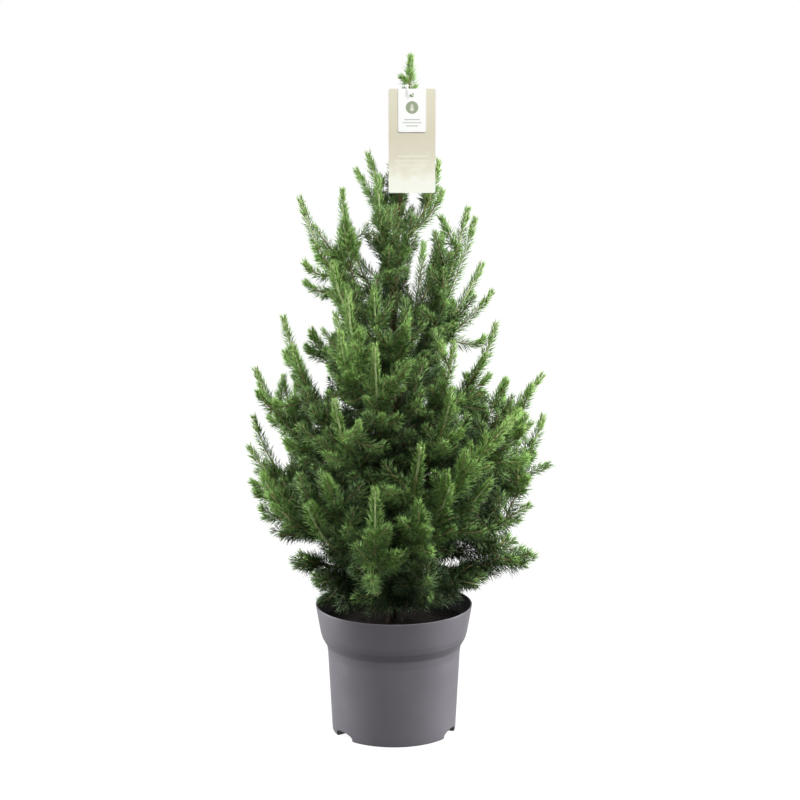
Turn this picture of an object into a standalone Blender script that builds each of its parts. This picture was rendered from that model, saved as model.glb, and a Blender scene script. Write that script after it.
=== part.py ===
"""A young alberta spruce in its nursery pot, about 82 cm tall.

The pot, the compost, the trunk, the boughs, each mass of foliage and the hang tags are separate
solids in metres. The origin is the centre of the pot's flat underside, +Z is up and -Y is the
front. A bearing is measured round the trunk from the front, in degrees, turning towards +X.
"""

import math
import random
from collections import namedtuple

import bmesh
import bpy
import numpy as np
from mathutils import Vector

# ---------------------------------------------------------------- driving sizes, in metres
GAP = 0.0003  # clearance between neighbouring pieces
UP = Vector((0.0, 0.0, 1.0))

POT_SIDES = 34
POT_HEIGHT = 0.158
# Where the outer wall bends, as radius and height: foot, body, sloped step and collar.
POT_BENDS = (
    (0.0751, 0.0012),
    (0.0801, 0.0975),
    (0.0814, 0.1075),
    (0.0871, 0.1175),
    (0.0891, 0.1245),
    (0.0950, 0.1568),
)
POT_WALL = 0.0018
POT_EDGE = 0.0012  # rounding of the rim and the foot
POT_FLOOR = 0.0065
FOOT_RING_RADIUS = 0.064
FOOT_RECESS_DEPTH = 0.0045
FOOT_CENTRE_RADIUS = 0.021
NOTCH_BEARINGS = (-54.0, 66.0, 186.0)
NOTCH_WIDTH = 0.032
NOTCH_HEIGHT = 0.0090
NOTCH_ROUNDING = 0.55  # 1 gives a half ellipse, less gives squarer shoulders
NOTCH_STEPS = 8
NOTCH_INNER_RADIUS = 0.0615
NOTCH_OUTER_RADIUS = 0.083

SOIL_TOP = 0.135
SOIL_FOOT = 0.0098  # above the drainage notches

TRUNK_SIDES = 10
TRUNK_RINGS = 16
TRUNK_RING_CROWDING = 1.6  # puts more of the rings near the foot, where the flare is
TRUNK_FOOT = SOIL_TOP + GAP
TRUNK_TIP = 0.776
TRUNK_FOOT_RADIUS = 0.0066
TRUNK_TIP_RADIUS = 0.0011
TRUNK_TAPER_POWER = 0.8
TRUNK_FLARE = 0.0042
TRUNK_FLARE_HEIGHT = 0.013
ROOT_LOBES = 3
ROOT_LOBE_DEPTH = 0.10
ROOT_LOBE_HEIGHT = 0.020
TRUNK_LEAN = 0.0185
TRUNK_LEAN_POWER = 3.5
TRUNK_SWAY = 0.0018
TRUNK_SWAY_BACK = 0.4  # the share of the sway that also shows from the side

CROWN_FOOT = 0.163
LIMB_SIDES = 5
LIMB_RINGS = 5
LIMB_BEND = 0.52  # where a limb turns up, as a share of its length back from the tip
BOUGH_FOOT_RADIUS = 0.0034
BOUGH_TIP_RADIUS = 0.0020
BOUGH_TAPER_POWER = 0.7
BOUGH_SHARE = 0.34  # the part of a limb that is bare bough, before its foliage starts
STEM_RADIUS = 0.0017
BOUGH_STEM_RADIUS = 0.0019
TWIG_RADIUS = 0.0011
STEM_TAPER = 0.85
SPRAY_SIDES = 3
SPRAY_CORE = 0.0036
SPRAY_CORE_START = 0.25  # the core is fattest a third of the way along its needles
SPRAY_STEP = 0.0150
NEEDLE_LENGTH = 0.0140
NEEDLE_LEAN = math.radians(40.0)
NEEDLE_GROWTH = 1.22  # how much longer a shoot's lowest needles are, and its last ones shorter
SPRAY_REACH = 0.0100  # room kept round a shoot's axis; only its needles' points pass it
TWIG_ANGLE = math.radians(43.0)
TWIG_LIFT = 0.45  # how far a twig's outer half bends up towards the light
TWIG_SPACING = 0.082
TWIG_SHORTEST = 0.034
TWIG_LONGEST = 0.075
TWIG_TRIES = 16
TWIG_LONG_TRIES = 8  # after these a shorter twig is tried
TWIG_SHORTER = 0.7
GOLDEN_TURN = math.radians(137.5)
SPACE_STEP = 0.004
TWIN_START = 0.22
TWIN_BARE = 0.16
TWIG_BARE = 0.12
TRUNK_STEM_BARE = 0.26
BOUGH_STEM_BARE = 0.08
LEADER_BARE = 0.20
LEADER_SIDE_START = 0.15
LEADER_STEM_RADIUS = 0.0010
LEADER_SIDE_RADIUS = 0.0008

CARD_WIDTH = 0.0545
CARD_HEIGHT = 0.1205
CARD_CENTRE_X = 0.0213
CARD_TOP = 0.7776
CARD_Y = -0.0150
CARD_THICKNESS = 0.0006
CARD_ROOM = 0.010  # kept free of twigs below the card
CARD_DEPTH = 0.012  # how far behind the trunk a twig passes the card
TAG_WIDTH = 0.0320
TAG_HEIGHT = 0.0500
EYELET_DROP = 0.0075  # from the tags' top edge to the middle of their hole
EYELET_RADIUS = 0.0026
EYELET_SIDES = 12
TIE_RADIUS = 0.0006
TIE_POINTS = 20
TIE_CENTRE_Y = -0.0091
TIE_CENTRE_Z = 0.7747
TIE_HALF_LENGTH = 0.0125
TIE_HALF_WIDTH = 0.0034
TIE_HALF_RISE = 0.0054

# The leading shoots of the crown: the mass's name, where its limb leaves the trunk (mm up), whether
# a bare bough carries it, then for each leading shoot its bearing (degrees), reach from the axis
# (mm), height (mm) and slope at the tip (degrees above level).
CROWN = (
    ("top_left", 606, False, ((-133, 44, 703, 66), (-123, 55, 684, 62))),
    ("top_right", 590, False, ((111, 57, 695, 84), (100, 60, 660, 70))),
    ("top_back", 612, False, ((176, 56, 680, 74), (165, 34, 738, 84))),
    ("upper_front", 532, False, ((-27, 41, 683, 86), (40, 22, 612, 88))),
    ("upper_left", 474, False, ((-90, 111, 653, 74), (-71, 63, 665, 90))),
    ("upper_right", 402, False, ((71, 92, 644, 76), (79, 98, 631, 74))),
    ("upper_right_back", 470, False, ((130, 78, 607, 76), (158, 98, 590, 70))),
    ("upper_back_left", 478, False, ((-172, 92, 622, 74), (-141, 94, 632, 84))),
    ("mid_front_left", 440, False, ((-45, 100, 585, 78),)),
    ("mid_front", 412, False, ((-17, 78, 554, 86), (11, 90, 522, 72))),
    ("mid_right_outer", 436, False, ((104, 110, 572, 66), (92, 119, 541, 54))),
    ("mid_left_outer", 322, True, ((-81, 132, 516, 80), (-68, 126, 484, 78))),
    ("mid_right", 346, True, ((74, 125, 510, 78), (64, 122, 474, 50))),
    ("mid_front_right", 366, False, ((32, 130, 499, 84),)),
    ("mid_back", 396, False, ((182, 120, 530, 72), (150, 134, 506, 68))),
    ("mid_back_left", 376, False, ((-148, 138, 500, 72), (-121, 117, 486, 62))),
    ("front_left_high", 386, False, ((-27, 114, 555, 88), (-27, 132, 512, 88))),
    ("front_high", 316, False, ((-10, 123, 498, 86),)),
    ("front_left", 296, True, ((-27, 147, 436, 78),)),
    ("front_right", 290, True, ((27, 147, 450, 74),)),
    ("left_high", 300, True, ((-90, 166, 450, 72), (-108, 150, 412, 60))),
    ("left_mid", 246, True, ((-90, 175, 355, 62), (-103, 175, 384, 74))),
    ("left_low", 212, False, ((-100, 175, 295, 28), (-86, 160, 268, 6))),
    ("right_high", 302, True, ((99, 184, 437, 52), (104, 140, 432, 64))),
    ("right_front_high", 278, True, ((58, 172, 411, 48), (63, 182, 401, 50))),
    ("right_mid", 248, True, ((100, 184, 387, 78), (90, 190, 331, 22))),
    ("right_low", 214, False, ((86, 166, 284, 32), (76, 152, 246, 18))),
    ("front_mid", 250, True, ((11, 163, 389, 66), (-7, 168, 340, 80))),
    ("front_low_right", 218, False, ((24, 160, 339, 58), (46, 157, 336, 52), (12, 150, 290, 36))),
    ("front_low_left", 206, False, ((-40, 155, 309, 66), (-31, 148, 346, 66), (-64, 160, 298, 40))),
    ("back_high_left", 298, True, ((-160, 166, 432, 68),)),
    ("back_high_right", 284, True, ((158, 168, 418, 66),)),
    ("back_mid", 240, True, ((178, 178, 366, 60), (-168, 162, 300, 34))),
    ("back_mid_left", 232, False, ((-132, 174, 338, 50), (-146, 160, 266, 28))),
    ("back_mid_right", 224, False, ((128, 176, 322, 46), (150, 162, 262, 26))),
    ("skirt_left", 192, False, ((-81, 127, 218, 12), (-52, 118, 200, -2))),
    ("skirt_right", 188, False, ((90, 174, 218, 16), (54, 124, 200, 2))),
    ("skirt_front", 182, False, ((22, 114, 192, -6), (-16, 108, 190, -8))),
    ("skirt_back_left", 184, False, ((-122, 118, 178, -2), (-158, 124, 196, 4))),
    ("skirt_back_right", 186, False, ((146, 150, 218, 12),)),
)
# The tip of the tree's leader and of the small shoot beside it, as above.
LEADER_TIPS = ((90, 20, 818, 88), (28, 8, 797, 78))

# The crown's outline: height and reach, both in mm, from the lowest needles to the top.
CROWN_OUTLINE = (
    (150, 105),
    (200, 140),
    (230, 168),
    (330, 182),
    (440, 178),
    (470, 134),
    (560, 122),
    (650, 112),
    (700, 62),
    (818, 30),
)
# The open ring between the trunk's own shoots and the limbs round it: heights and distances in mm.
OPEN_RING = (548, 604, 24, 46)

TWIG_SEED = 41

# A shoot's mass, its curve, how much of it is bare, its foot's radius, and whether that foot
# stands on the trunk.
Shoot = namedtuple("Shoot", "mass corners bare stem on_trunk")


# ---------------------------------------------------------------- scene and materials
def clear_scene():
    for thing in list(bpy.data.objects):
        bpy.data.objects.remove(thing, do_unlink=True)
    for mesh in list(bpy.data.meshes):
        bpy.data.meshes.remove(mesh)


def plain_material(name, colour, roughness):
    material = bpy.data.materials.new(name)
    material.use_nodes = True
    material.diffuse_color = (*colour, 1.0)
    shader = material.node_tree.nodes["Principled BSDF"]
    shader.inputs["Base Color"].default_value = (*colour, 1.0)
    shader.inputs["Roughness"].default_value = roughness
    shader.inputs["Metallic"].default_value = 0.0
    return material


def object_from(name, points, faces, material):
    """A closed mesh as a new object, with its faces turned outwards."""
    mesh = bpy.data.meshes.new(name)
    mesh.from_pydata([tuple(point) for point in points], [], faces)
    shape = bmesh.new()
    shape.from_mesh(mesh)
    bmesh.ops.recalc_face_normals(shape, faces=shape.faces)
    shape.to_mesh(mesh)
    shape.free()
    mesh.materials.append(material)
    thing = bpy.data.objects.new(name, mesh)
    bpy.context.scene.collection.objects.link(thing)
    return thing


def shade_round(thing, sharp_degrees):
    thing.data.shade_smooth()
    thing.data.set_sharp_from_angle(angle=math.radians(sharp_degrees))


def cut(thing, cutter):
    """Cuts one object out of another, which stays on as a hidden guide."""
    cutter.hide_render = True
    cutter.display_type = "WIRE"
    modifier = thing.modifiers.new(cutter.name, "BOOLEAN")
    modifier.operation = "DIFFERENCE"
    modifier.object = cutter


# ---------------------------------------------------------------- bearings and curves
def heading(bearing):
    """The level direction at a bearing in degrees: 0 is the front, 90 is +X."""
    angle = math.radians(bearing)
    return Vector((math.sin(angle), -math.cos(angle), 0.0))


def curve_point(corners, t):
    """The point of a quadratic Bezier curve at t."""
    a, b, c = corners
    return a * (1 - t) ** 2 + b * 2 * t * (1 - t) + c * t * t


def curve_direction(corners, t):
    a, b, c = corners
    return ((b - a) * (1 - t) + (c - b) * t).normalized()


def curve_length(corners, steps=12):
    points = [curve_point(corners, k / steps) for k in range(steps + 1)]
    return sum((q - p).length for p, q in zip(points, points[1:]))


def level(direction):
    """The level direction under a slanting one."""
    return Vector((direction.x, direction.y, 0.0)).normalized()


def across(direction):
    """Two unit vectors square to a direction; the first one is level."""
    side = direction.cross(UP)
    if side.length < 1e-4:
        side = Vector((1.0, 0.0, 0.0))
    side.normalize()
    return side, side.cross(direction).normalized()


def ring(centre, direction, radius, sides, turn=0.0):
    u, v = across(direction)
    points = []
    for k in range(sides):
        angle = turn + math.tau * k / sides
        points.append(centre + (u * math.cos(angle) + v * math.sin(angle)) * radius)
    return points


def loft(name, rows, material):
    """A closed tube through rings of points with flat ends."""
    sides = len(rows[0])
    points = [point for row in rows for point in row]
    faces = [tuple(range(sides)), tuple(len(points) - 1 - k for k in range(sides))]
    for r in range(len(rows) - 1):
        for k in range(sides):
            n = (k + 1) % sides
            low, high = r * sides, (r + 1) * sides
            faces.append((low + k, low + n, high + n, high + k))
    return object_from(name, points, faces, material)


# ---------------------------------------------------------------- pot and compost
def turned(name, profile, sides, material):
    """A solid of revolution from (radius, height) points that run from axis to axis."""
    points = []
    rows = []
    for radius, height in profile:
        if radius == 0.0:
            rows.append([len(points)] * sides)
            points.append((0.0, 0.0, height))
            continue
        rows.append(list(range(len(points), len(points) + sides)))
        for k in range(sides):
            angle = math.tau * k / sides
            points.append((radius * math.cos(angle), radius * math.sin(angle), height))
    faces = []
    for low, high in zip(rows, rows[1:]):
        for k in range(sides):
            n = (k + 1) % sides
            corners = [low[k], low[n], high[n], high[k]]
            faces.append([c for i, c in enumerate(corners) if c != corners[i - 1]])
    return object_from(name, points, faces, material)


def inner_radius(height):
    """The radius of the pot's inner wall at a height."""
    radii, heights = zip(*POT_BENDS)
    return float(np.interp(height, heights, radii)) - POT_WALL


def notch_cutter(number, bearing):
    """A block with an arched top that cuts one drainage notch through the pot's foot."""
    outward = heading(bearing)
    along = UP.cross(outward)
    outline = [(-NOTCH_WIDTH / 2, -NOTCH_HEIGHT), (NOTCH_WIDTH / 2, -NOTCH_HEIGHT)]
    for step in range(NOTCH_STEPS + 1):
        angle = math.pi * step / NOTCH_STEPS
        arch = max(0.0, math.sin(angle)) ** NOTCH_ROUNDING
        outline.append((NOTCH_WIDTH / 2 * math.cos(angle), NOTCH_HEIGHT * arch))
    rows = []
    for reach in (NOTCH_INNER_RADIUS, NOTCH_OUTER_RADIUS):
        rows.append([outward * reach + along * side + UP * rise for side, rise in outline])
    return loft(f"notch_cutter_{number}", rows, None)


def make_pot(material):
    base_radius = POT_BENDS[0][0]
    rim_radius = POT_BENDS[-1][0]
    profile = [
        (0.0, 0.0),
        (FOOT_CENTRE_RADIUS, 0.0),
        (FOOT_CENTRE_RADIUS + POT_EDGE, FOOT_RECESS_DEPTH),
        (FOOT_RING_RADIUS - POT_EDGE, FOOT_RECESS_DEPTH),
        (FOOT_RING_RADIUS, 0.0),
        (base_radius - POT_EDGE, 0.0),
    ]
    profile += POT_BENDS
    profile += [(rim_radius - POT_EDGE / 2, POT_HEIGHT), (rim_radius - POT_WALL, POT_HEIGHT)]
    profile += [(radius - POT_WALL, height) for radius, height in reversed(POT_BENDS[1:-1])]
    profile += [(inner_radius(POT_FLOOR), POT_FLOOR), (0.0, POT_FLOOR)]
    pot = turned("pot", profile, POT_SIDES, material)
    for number, bearing in enumerate(NOTCH_BEARINGS):
        cut(pot, notch_cutter(number, bearing))
    shade_round(pot, 30.0)


def make_soil(material):
    """The compost fills the pot to below its rim, clear of the wall."""
    bends = [height for _, height in POT_BENDS if SOIL_FOOT < height < SOIL_TOP]
    heights = [SOIL_FOOT, *bends, SOIL_TOP]
    profile = [(inner_radius(height) - 2 * GAP, height) for height in heights]
    profile = [(0.0, SOIL_FOOT), *profile, (0.0, SOIL_TOP)]
    shade_round(turned("soil", profile, POT_SIDES, material), 30.0)


# ---------------------------------------------------------------- trunk
def trunk_share(height):
    return min(max((height - TRUNK_FOOT) / (TRUNK_TIP - TRUNK_FOOT), 0.0), 1.0)


def trunk_centre(height):
    """The trunk sways a little and leans towards +X near its top."""
    share = trunk_share(height)
    lean = TRUNK_LEAN * share**TRUNK_LEAN_POWER
    sway = TRUNK_SWAY * math.sin(math.pi * share)
    return Vector((lean - sway, TRUNK_SWAY_BACK * sway, height))


def trunk_radius(height):
    share = trunk_share(height) ** TRUNK_TAPER_POWER
    taper = TRUNK_FOOT_RADIUS + (TRUNK_TIP_RADIUS - TRUNK_FOOT_RADIUS) * share
    return taper + TRUNK_FLARE * math.exp((TRUNK_FOOT - height) / TRUNK_FLARE_HEIGHT)


def make_trunk(material):
    rows = []
    for r in range(TRUNK_RINGS + 1):
        share = (r / TRUNK_RINGS) ** TRUNK_RING_CROWDING
        height = TRUNK_FOOT + (TRUNK_TIP - TRUNK_FOOT) * share
        centre = trunk_centre(height)
        radius = trunk_radius(height)
        depth = ROOT_LOBE_DEPTH * math.exp((TRUNK_FOOT - height) / ROOT_LOBE_HEIGHT)
        row = []
        for k in range(TRUNK_SIDES):
            angle = math.tau * k / TRUNK_SIDES
            reach = radius * (1 + depth * math.cos(ROOT_LOBES * angle))
            row.append(centre + Vector((math.cos(angle), math.sin(angle), 0.0)) * reach)
        rows.append(row)
    shade_round(loft("trunk", rows, material), 40.0)


# ---------------------------------------------------------------- hang tags
def make_plate(name, back_y, width, height, material):
    """An upright card with an eyelet punched near its top edge."""
    rows = []
    for y in (back_y, back_y - CARD_THICKNESS):
        row = []
        for side, z in ((-1, CARD_TOP - height), (1, CARD_TOP - height), (1, CARD_TOP), (-1, CARD_TOP)):
            row.append(Vector((CARD_CENTRE_X + side * width / 2, y, z)))
        rows.append(row)
    plate = loft(name, rows, material)
    eye = Vector((CARD_CENTRE_X, back_y, CARD_TOP - EYELET_DROP))
    towards = Vector((0.0, CARD_THICKNESS, 0.0))
    rows = []
    for centre in (eye - 2 * towards, eye + towards):
        rows.append(ring(centre, towards.normalized(), EYELET_RADIUS, EYELET_SIDES))
    cut(plate, loft(name + "_punch", rows, None))


def make_tags(card, white):
    make_plate("tag_card", CARD_Y, CARD_WIDTH, CARD_HEIGHT, card)
    make_plate("tag_small", CARD_Y - CARD_THICKNESS - GAP, TAG_WIDTH, TAG_HEIGHT, white)


def make_tie(material):
    """A thin loop through both eyelets, over the cards' top edge and round the leader."""
    curve = bpy.data.curves.new("tag_tie", "CURVE")
    curve.dimensions = "3D"
    curve.bevel_depth = TIE_RADIUS
    curve.bevel_resolution = 0
    spline = curve.splines.new("POLY")
    spline.points.add(TIE_POINTS - 1)
    spline.use_cyclic_u = True
    centre = Vector((trunk_centre(TIE_CENTRE_Z).x, TIE_CENTRE_Y, TIE_CENTRE_Z))
    for k in range(TIE_POINTS):
        angle = math.tau * k / TIE_POINTS
        along = TIE_HALF_LENGTH * math.cos(angle)
        aside = TIE_HALF_WIDTH * math.sin(angle)
        rise = -TIE_HALF_RISE * math.sin(angle)
        spline.points[k].co = (*(centre + Vector((aside, along, rise))), 1.0)
    curve.materials.append(material)
    tie = bpy.data.objects.new("tag_tie", curve)
    bpy.context.scene.collection.objects.link(tie)


# ---------------------------------------------------------------- limbs and their curves
def tip_point(tip):
    bearing, reach, height, _ = tip
    return heading(bearing) * (reach / 1000) + UP * (height / 1000)


def rising_curve(start, tip):
    """A limb's curve: it leaves its start outwards and turns up to the slope of its tip."""
    end = tip_point(tip)
    slope = math.radians(tip[3])
    tip_direction = level(end - start) * math.cos(slope) + UP * math.sin(slope)
    return (start, end - tip_direction * ((end - start).length * LIMB_BEND), end)


def limb_curve(foot, tip):
    """The curve of a limb from just clear of the trunk's bark."""
    centre = trunk_centre(foot)
    outward = level(tip_point(tip) - centre)
    return rising_curve(centre + outward * (trunk_radius(foot) + 2 * GAP), tip)


def cut_curve(corners, start):
    """The part of a quadratic Bezier curve after start."""
    _, b, c = corners
    return (curve_point(corners, start), b + (c - b) * start, c)


def side_curve(parent, place, turn, length):
    """A twig that leaves its parent at an angle and bends up towards the light."""
    start = curve_point(parent, place)
    along = curve_direction(parent, place)
    u, v = across(along)
    sideways = u * math.cos(turn) + v * math.sin(turn)
    out = along * math.cos(TWIG_ANGLE) + sideways * math.sin(TWIG_ANGLE)
    middle = start + out * (length / 2)
    return (start, middle, middle + (out + UP * TWIG_LIFT).normalized() * (length / 2))


def make_bough(name, corners, material):
    rows = []
    for k in range(LIMB_RINGS + 1):
        t = BOUGH_SHARE * k / LIMB_RINGS
        direction = curve_direction(corners, t)
        direction = level(direction) if k == 0 else direction
        taper = (k / LIMB_RINGS) ** BOUGH_TAPER_POWER
        radius = BOUGH_FOOT_RADIUS + (BOUGH_TIP_RADIUS - BOUGH_FOOT_RADIUS) * taper
        rows.append(ring(curve_point(corners, t), direction, radius, LIMB_SIDES))
    shade_round(loft("bough_" + name, rows, material), 50.0)


# ---------------------------------------------------------------- sprays of needles
def leafy_share(t, bare):
    """How far t is along the leafy part of a shoot."""
    return min(max((t - bare) / (1 - bare), 0.0), 1.0)


def needle_share(t, bare):
    """The length of a shoot's needles at t against the middle ones: longest low on the shoot."""
    return NEEDLE_GROWTH + (1 / NEEDLE_GROWTH - NEEDLE_GROWTH) * leafy_share(t, bare)


def core_radius(t, shoot):
    """The radius of a shoot's core: a thin stem that swells where the needles are."""
    if t == 0.0:
        return shoot.stem
    thin = shoot.stem * STEM_TAPER
    if t <= shoot.bare:
        return thin
    swell = SPRAY_CORE_START + (1 - SPRAY_CORE_START) * leafy_share(t, shoot.bare)
    return thin + (SPRAY_CORE - thin) * math.sqrt(math.sin(math.pi * swell))


def spray(name, shoot, material):
    """One shoot: a bare three-sided twig that swells to a slim core with needles standing out.

    Each of the core's rings is turned by half a side against the one before, so every face between
    them is a triangle, and each triangle that points forwards is raised to a needle.
    """
    _, corners, bare, _, on_trunk = shoot
    steps = max(3, round(curve_length(corners) * (1 - bare) / SPRAY_STEP))
    places = [0.0] + [bare + (1 - bare) * k / steps for k in range(steps)]
    points = []
    rows = []
    for number, t in enumerate(places):
        direction = curve_direction(corners, t)
        direction = level(direction) if on_trunk and number == 0 else direction
        turn = math.pi / SPRAY_SIDES * number
        rows.append(list(range(len(points), len(points) + SPRAY_SIDES)))
        centre = curve_point(corners, t)
        points += ring(centre, direction, core_radius(t, shoot), SPRAY_SIDES, turn)
    tip = len(points)
    points.append(curve_point(corners, 1.0))
    faces = [tuple(reversed(rows[0]))]
    for number, (low, high) in enumerate(zip(rows, rows[1:])):
        middle = (places[number] + places[number + 1]) / 2
        for k in range(SPRAY_SIDES):
            n = (k + 1) % SPRAY_SIDES
            base = (low[k], low[n], high[k])
            faces.append((low[n], high[n], high[k]))
            if number == 0:
                faces.append(base)
                continue
            foot = (points[base[0]] + points[base[1]] + points[base[2]]) / 3
            direction = curve_direction(corners, middle)
            outward = foot - curve_point(corners, middle)
            outward = (outward - direction * outward.dot(direction)).normalized()
            lean = outward * math.cos(NEEDLE_LEAN) + direction * math.sin(NEEDLE_LEAN)
            apex = len(points)
            points.append(foot + lean * NEEDLE_LENGTH * needle_share(middle, bare))
            faces += [(base[i], base[(i + 1) % 3], apex) for i in range(3)]
    for k in range(SPRAY_SIDES):
        faces.append((rows[-1][k], rows[-1][(k + 1) % SPRAY_SIDES], tip))
    return object_from(name, points, faces, material)


def fuse(name, pieces):
    """Joins a mass's shoots into one closed body by one Boolean union on a collection."""
    stem = pieces[0]
    stem.name = name
    if len(pieces) > 1:
        others = bpy.data.collections.new(name + "_shoots")
        for piece in pieces[1:]:
            others.objects.link(piece)
        union = stem.modifiers.new("fuse", "BOOLEAN")
        union.operation = "UNION"
        union.operand_type = "COLLECTION"
        union.collection = others
        union.solver = "EXACT"
        graph = bpy.context.evaluated_depsgraph_get()
        mesh = bpy.data.meshes.new_from_object(stem.evaluated_get(graph))
        stem.modifiers.clear()
        stem.data = mesh
        for piece in pieces[1:]:
            bpy.data.objects.remove(piece, do_unlink=True)
        bpy.data.collections.remove(others)
    stem.data.name = name


# ---------------------------------------------------------------- the room in the crown
class Space:
    """The room already taken: points along every limb and shoot, each with its own radius."""

    def __init__(self):
        self.points = []
        self.radii = []
        self.owners = []

    def add(self, owner, corners, bare, radius, end=1.0):
        """Takes the room of a limb or shoot, from its foot to end."""
        for point, width in self.samples(corners, bare, radius, end):
            self.points.append(tuple(point))
            self.radii.append(width)
            self.owners.append(owner)

    def samples(self, corners, bare, radius, end=1.0):
        """Points along a shoot, each with the radius of its wood or its needles."""
        count = max(6, int(curve_length(corners) * end / SPACE_STEP))
        found = []
        for k in range(count + 1):
            t = end * k / count
            width = radius if t <= bare else SPRAY_REACH * needle_share(t, bare)
            found.append((curve_point(corners, t), width))
        return found

    def clear_of_others(self, owner, corners, bare, radius):
        """Whether a shoot would stay clear of every other mass and limb."""
        others = np.array([name != owner for name in self.owners])
        places = np.array(self.points)[others]
        radii = np.array(self.radii)[others]
        for point, width in self.samples(corners, bare, radius):
            apart = np.linalg.norm(places - np.array(point), axis=1)
            if (apart < radii + width + GAP).any():
                return False
        return True


def crown_reach(height):
    heights, reaches = zip(*CROWN_OUTLINE)
    return float(np.interp(height * 1000, heights, reaches)) / 1000


def in_its_space(corners):
    """Whether a twig stays inside the crown's outline, above the pot and out of the open ring."""
    low, high, inner, outer = OPEN_RING
    for k in range(1, 7):
        point = curve_point(corners, k / 6)
        reach = math.hypot(point.x, point.y)
        if point.z < CROWN_FOOT + SPRAY_REACH or reach > crown_reach(point.z):
            return False
        from_trunk = (point - trunk_centre(point.z)).length * 1000
        if low < point.z * 1000 < high and inner < from_trunk < outer:
            return False
        if point.z > CARD_TOP - CARD_HEIGHT - CARD_ROOM and point.y < CARD_DEPTH:
            return False
    return True


# ---------------------------------------------------------------- the crown
def plan_crown():
    """The leading shoots of every mass and the bare boughs that carry some of them."""
    space = Space()
    plan = []
    boughs = []
    for name, foot, on_bough, tips in CROWN:
        limb = limb_curve(foot / 1000, tips[0])
        leader = limb
        stem = STEM_RADIUS
        bare = TRUNK_STEM_BARE
        if on_bough:
            boughs.append((name, limb))
            space.add("bough_" + name, limb, 1.0, BOUGH_FOOT_RADIUS, BOUGH_SHARE)
            leader = cut_curve(limb, BOUGH_SHARE + 1.5 * GAP / curve_length(limb))
            stem = BOUGH_STEM_RADIUS
            bare = BOUGH_STEM_BARE
        plan.append(Shoot(name, leader, bare, stem, not on_bough))
        for tip in tips[1:]:
            twin = rising_curve(curve_point(leader, TWIN_START), tip)
            plan.append(Shoot(name, twin, TWIN_BARE, TWIG_RADIUS, False))
    plan += plan_leader()
    for shoot in plan:
        space.add(shoot.mass, shoot.corners, shoot.bare, shoot.stem)
    return plan, boughs, space


def plan_leader():
    """The tree's own leader goes on from the trunk's tip, with one small shoot beside it."""
    start = trunk_centre(TRUNK_TIP) + UP * GAP
    curves = []
    for tip in LEADER_TIPS:
        end = tip_point(tip)
        middle = Vector((start.lerp(end, 0.2).x, end.y / 2, start.lerp(end, 0.5).z))
        curves.append((start, middle, end))
    main, beside = curves
    beside = (curve_point(main, LEADER_SIDE_START), *beside[1:])
    return [
        Shoot("leader", main, LEADER_BARE, LEADER_STEM_RADIUS, False),
        Shoot("leader", beside, LEADER_BARE, LEADER_SIDE_RADIUS, False),
    ]


def add_side_twigs(plan, space):
    """Twigs on each leading shoot, turned by the golden angle, kept where there is room."""
    dice = random.Random(TWIG_SEED)
    twigs = []
    for name, leader, bare, *_ in plan:
        length = curve_length(leader)
        count = int(length * (1 - bare) / TWIG_SPACING)
        turn = dice.uniform(0, math.tau)
        for number in range(count):
            place = bare + (1 - bare) * (number + 0.4) / (count + 0.6)
            room = (1 - place) * length * 0.8 + 0.010
            reach = min(max(room, TWIG_SHORTEST), TWIG_LONGEST)
            for attempt in range(TWIG_TRIES):
                turn += GOLDEN_TURN
                shorter = 1.0 if attempt < TWIG_LONG_TRIES else TWIG_SHORTER
                trial = side_curve(leader, place, turn, reach * shorter)
                if not in_its_space(trial):
                    continue
                if space.clear_of_others(name, trial, TWIG_BARE, TWIG_RADIUS):
                    twigs.append(Shoot(name, trial, TWIG_BARE, TWIG_RADIUS, False))
                    space.add(name, trial, TWIG_BARE, TWIG_RADIUS)
                    break
    return twigs


def make_foliage(shoots, material):
    """One fused mass for each row of the crown, and one for the leader."""
    for mass in [row[0] for row in CROWN] + ["leader"]:
        own = [shoot for shoot in shoots if shoot.mass == mass]
        pieces = [spray(f"{mass}_shoot_{k}", shoot, material) for k, shoot in enumerate(own)]
        fuse("foliage_" + mass, pieces)


def main():
    clear_scene()
    bark = plain_material("spruce_bark", (0.110, 0.066, 0.036), 0.85)
    make_pot(plain_material("grey_polypropylene", (0.125, 0.123, 0.138), 0.42))
    make_soil(plain_material("peat_compost", (0.012, 0.010, 0.008), 0.95))
    make_trunk(bark)
    card = plain_material("printed_card", (0.78, 0.76, 0.62), 0.50)
    make_tags(card, plain_material("white_card", (0.90, 0.91, 0.89), 0.50))
    make_tie(plain_material("clear_tie", (0.75, 0.77, 0.74), 0.30))
    plan, boughs, space = plan_crown()
    for name, limb in boughs:
        make_bough(name, limb, bark)
    shoots = plan + add_side_twigs(plan, space)
    make_foliage(shoots, plain_material("spruce_needles", (0.062, 0.125, 0.030), 0.55))
    print("shoots:", len(shoots))


main()
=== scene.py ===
# %% [markdown]
# # A young alberta spruce in its pot
# This file dresses the solid model of a potted spruce. The model gives every size and place. The
# cells below give it its plastic, bark, compost and card, and grow its needles one by one.
# The tree comes from a rule: limbs leave the trunk, twigs leave the limbs and needles leave the twigs. Only
# the ends of the leading shoots and the gaps that stay open are listed one by one.

# %% Load the fixed frame
import math
import random
from collections import namedtuple

import bmesh
import bpy
import numpy as np
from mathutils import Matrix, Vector, noise


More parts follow.
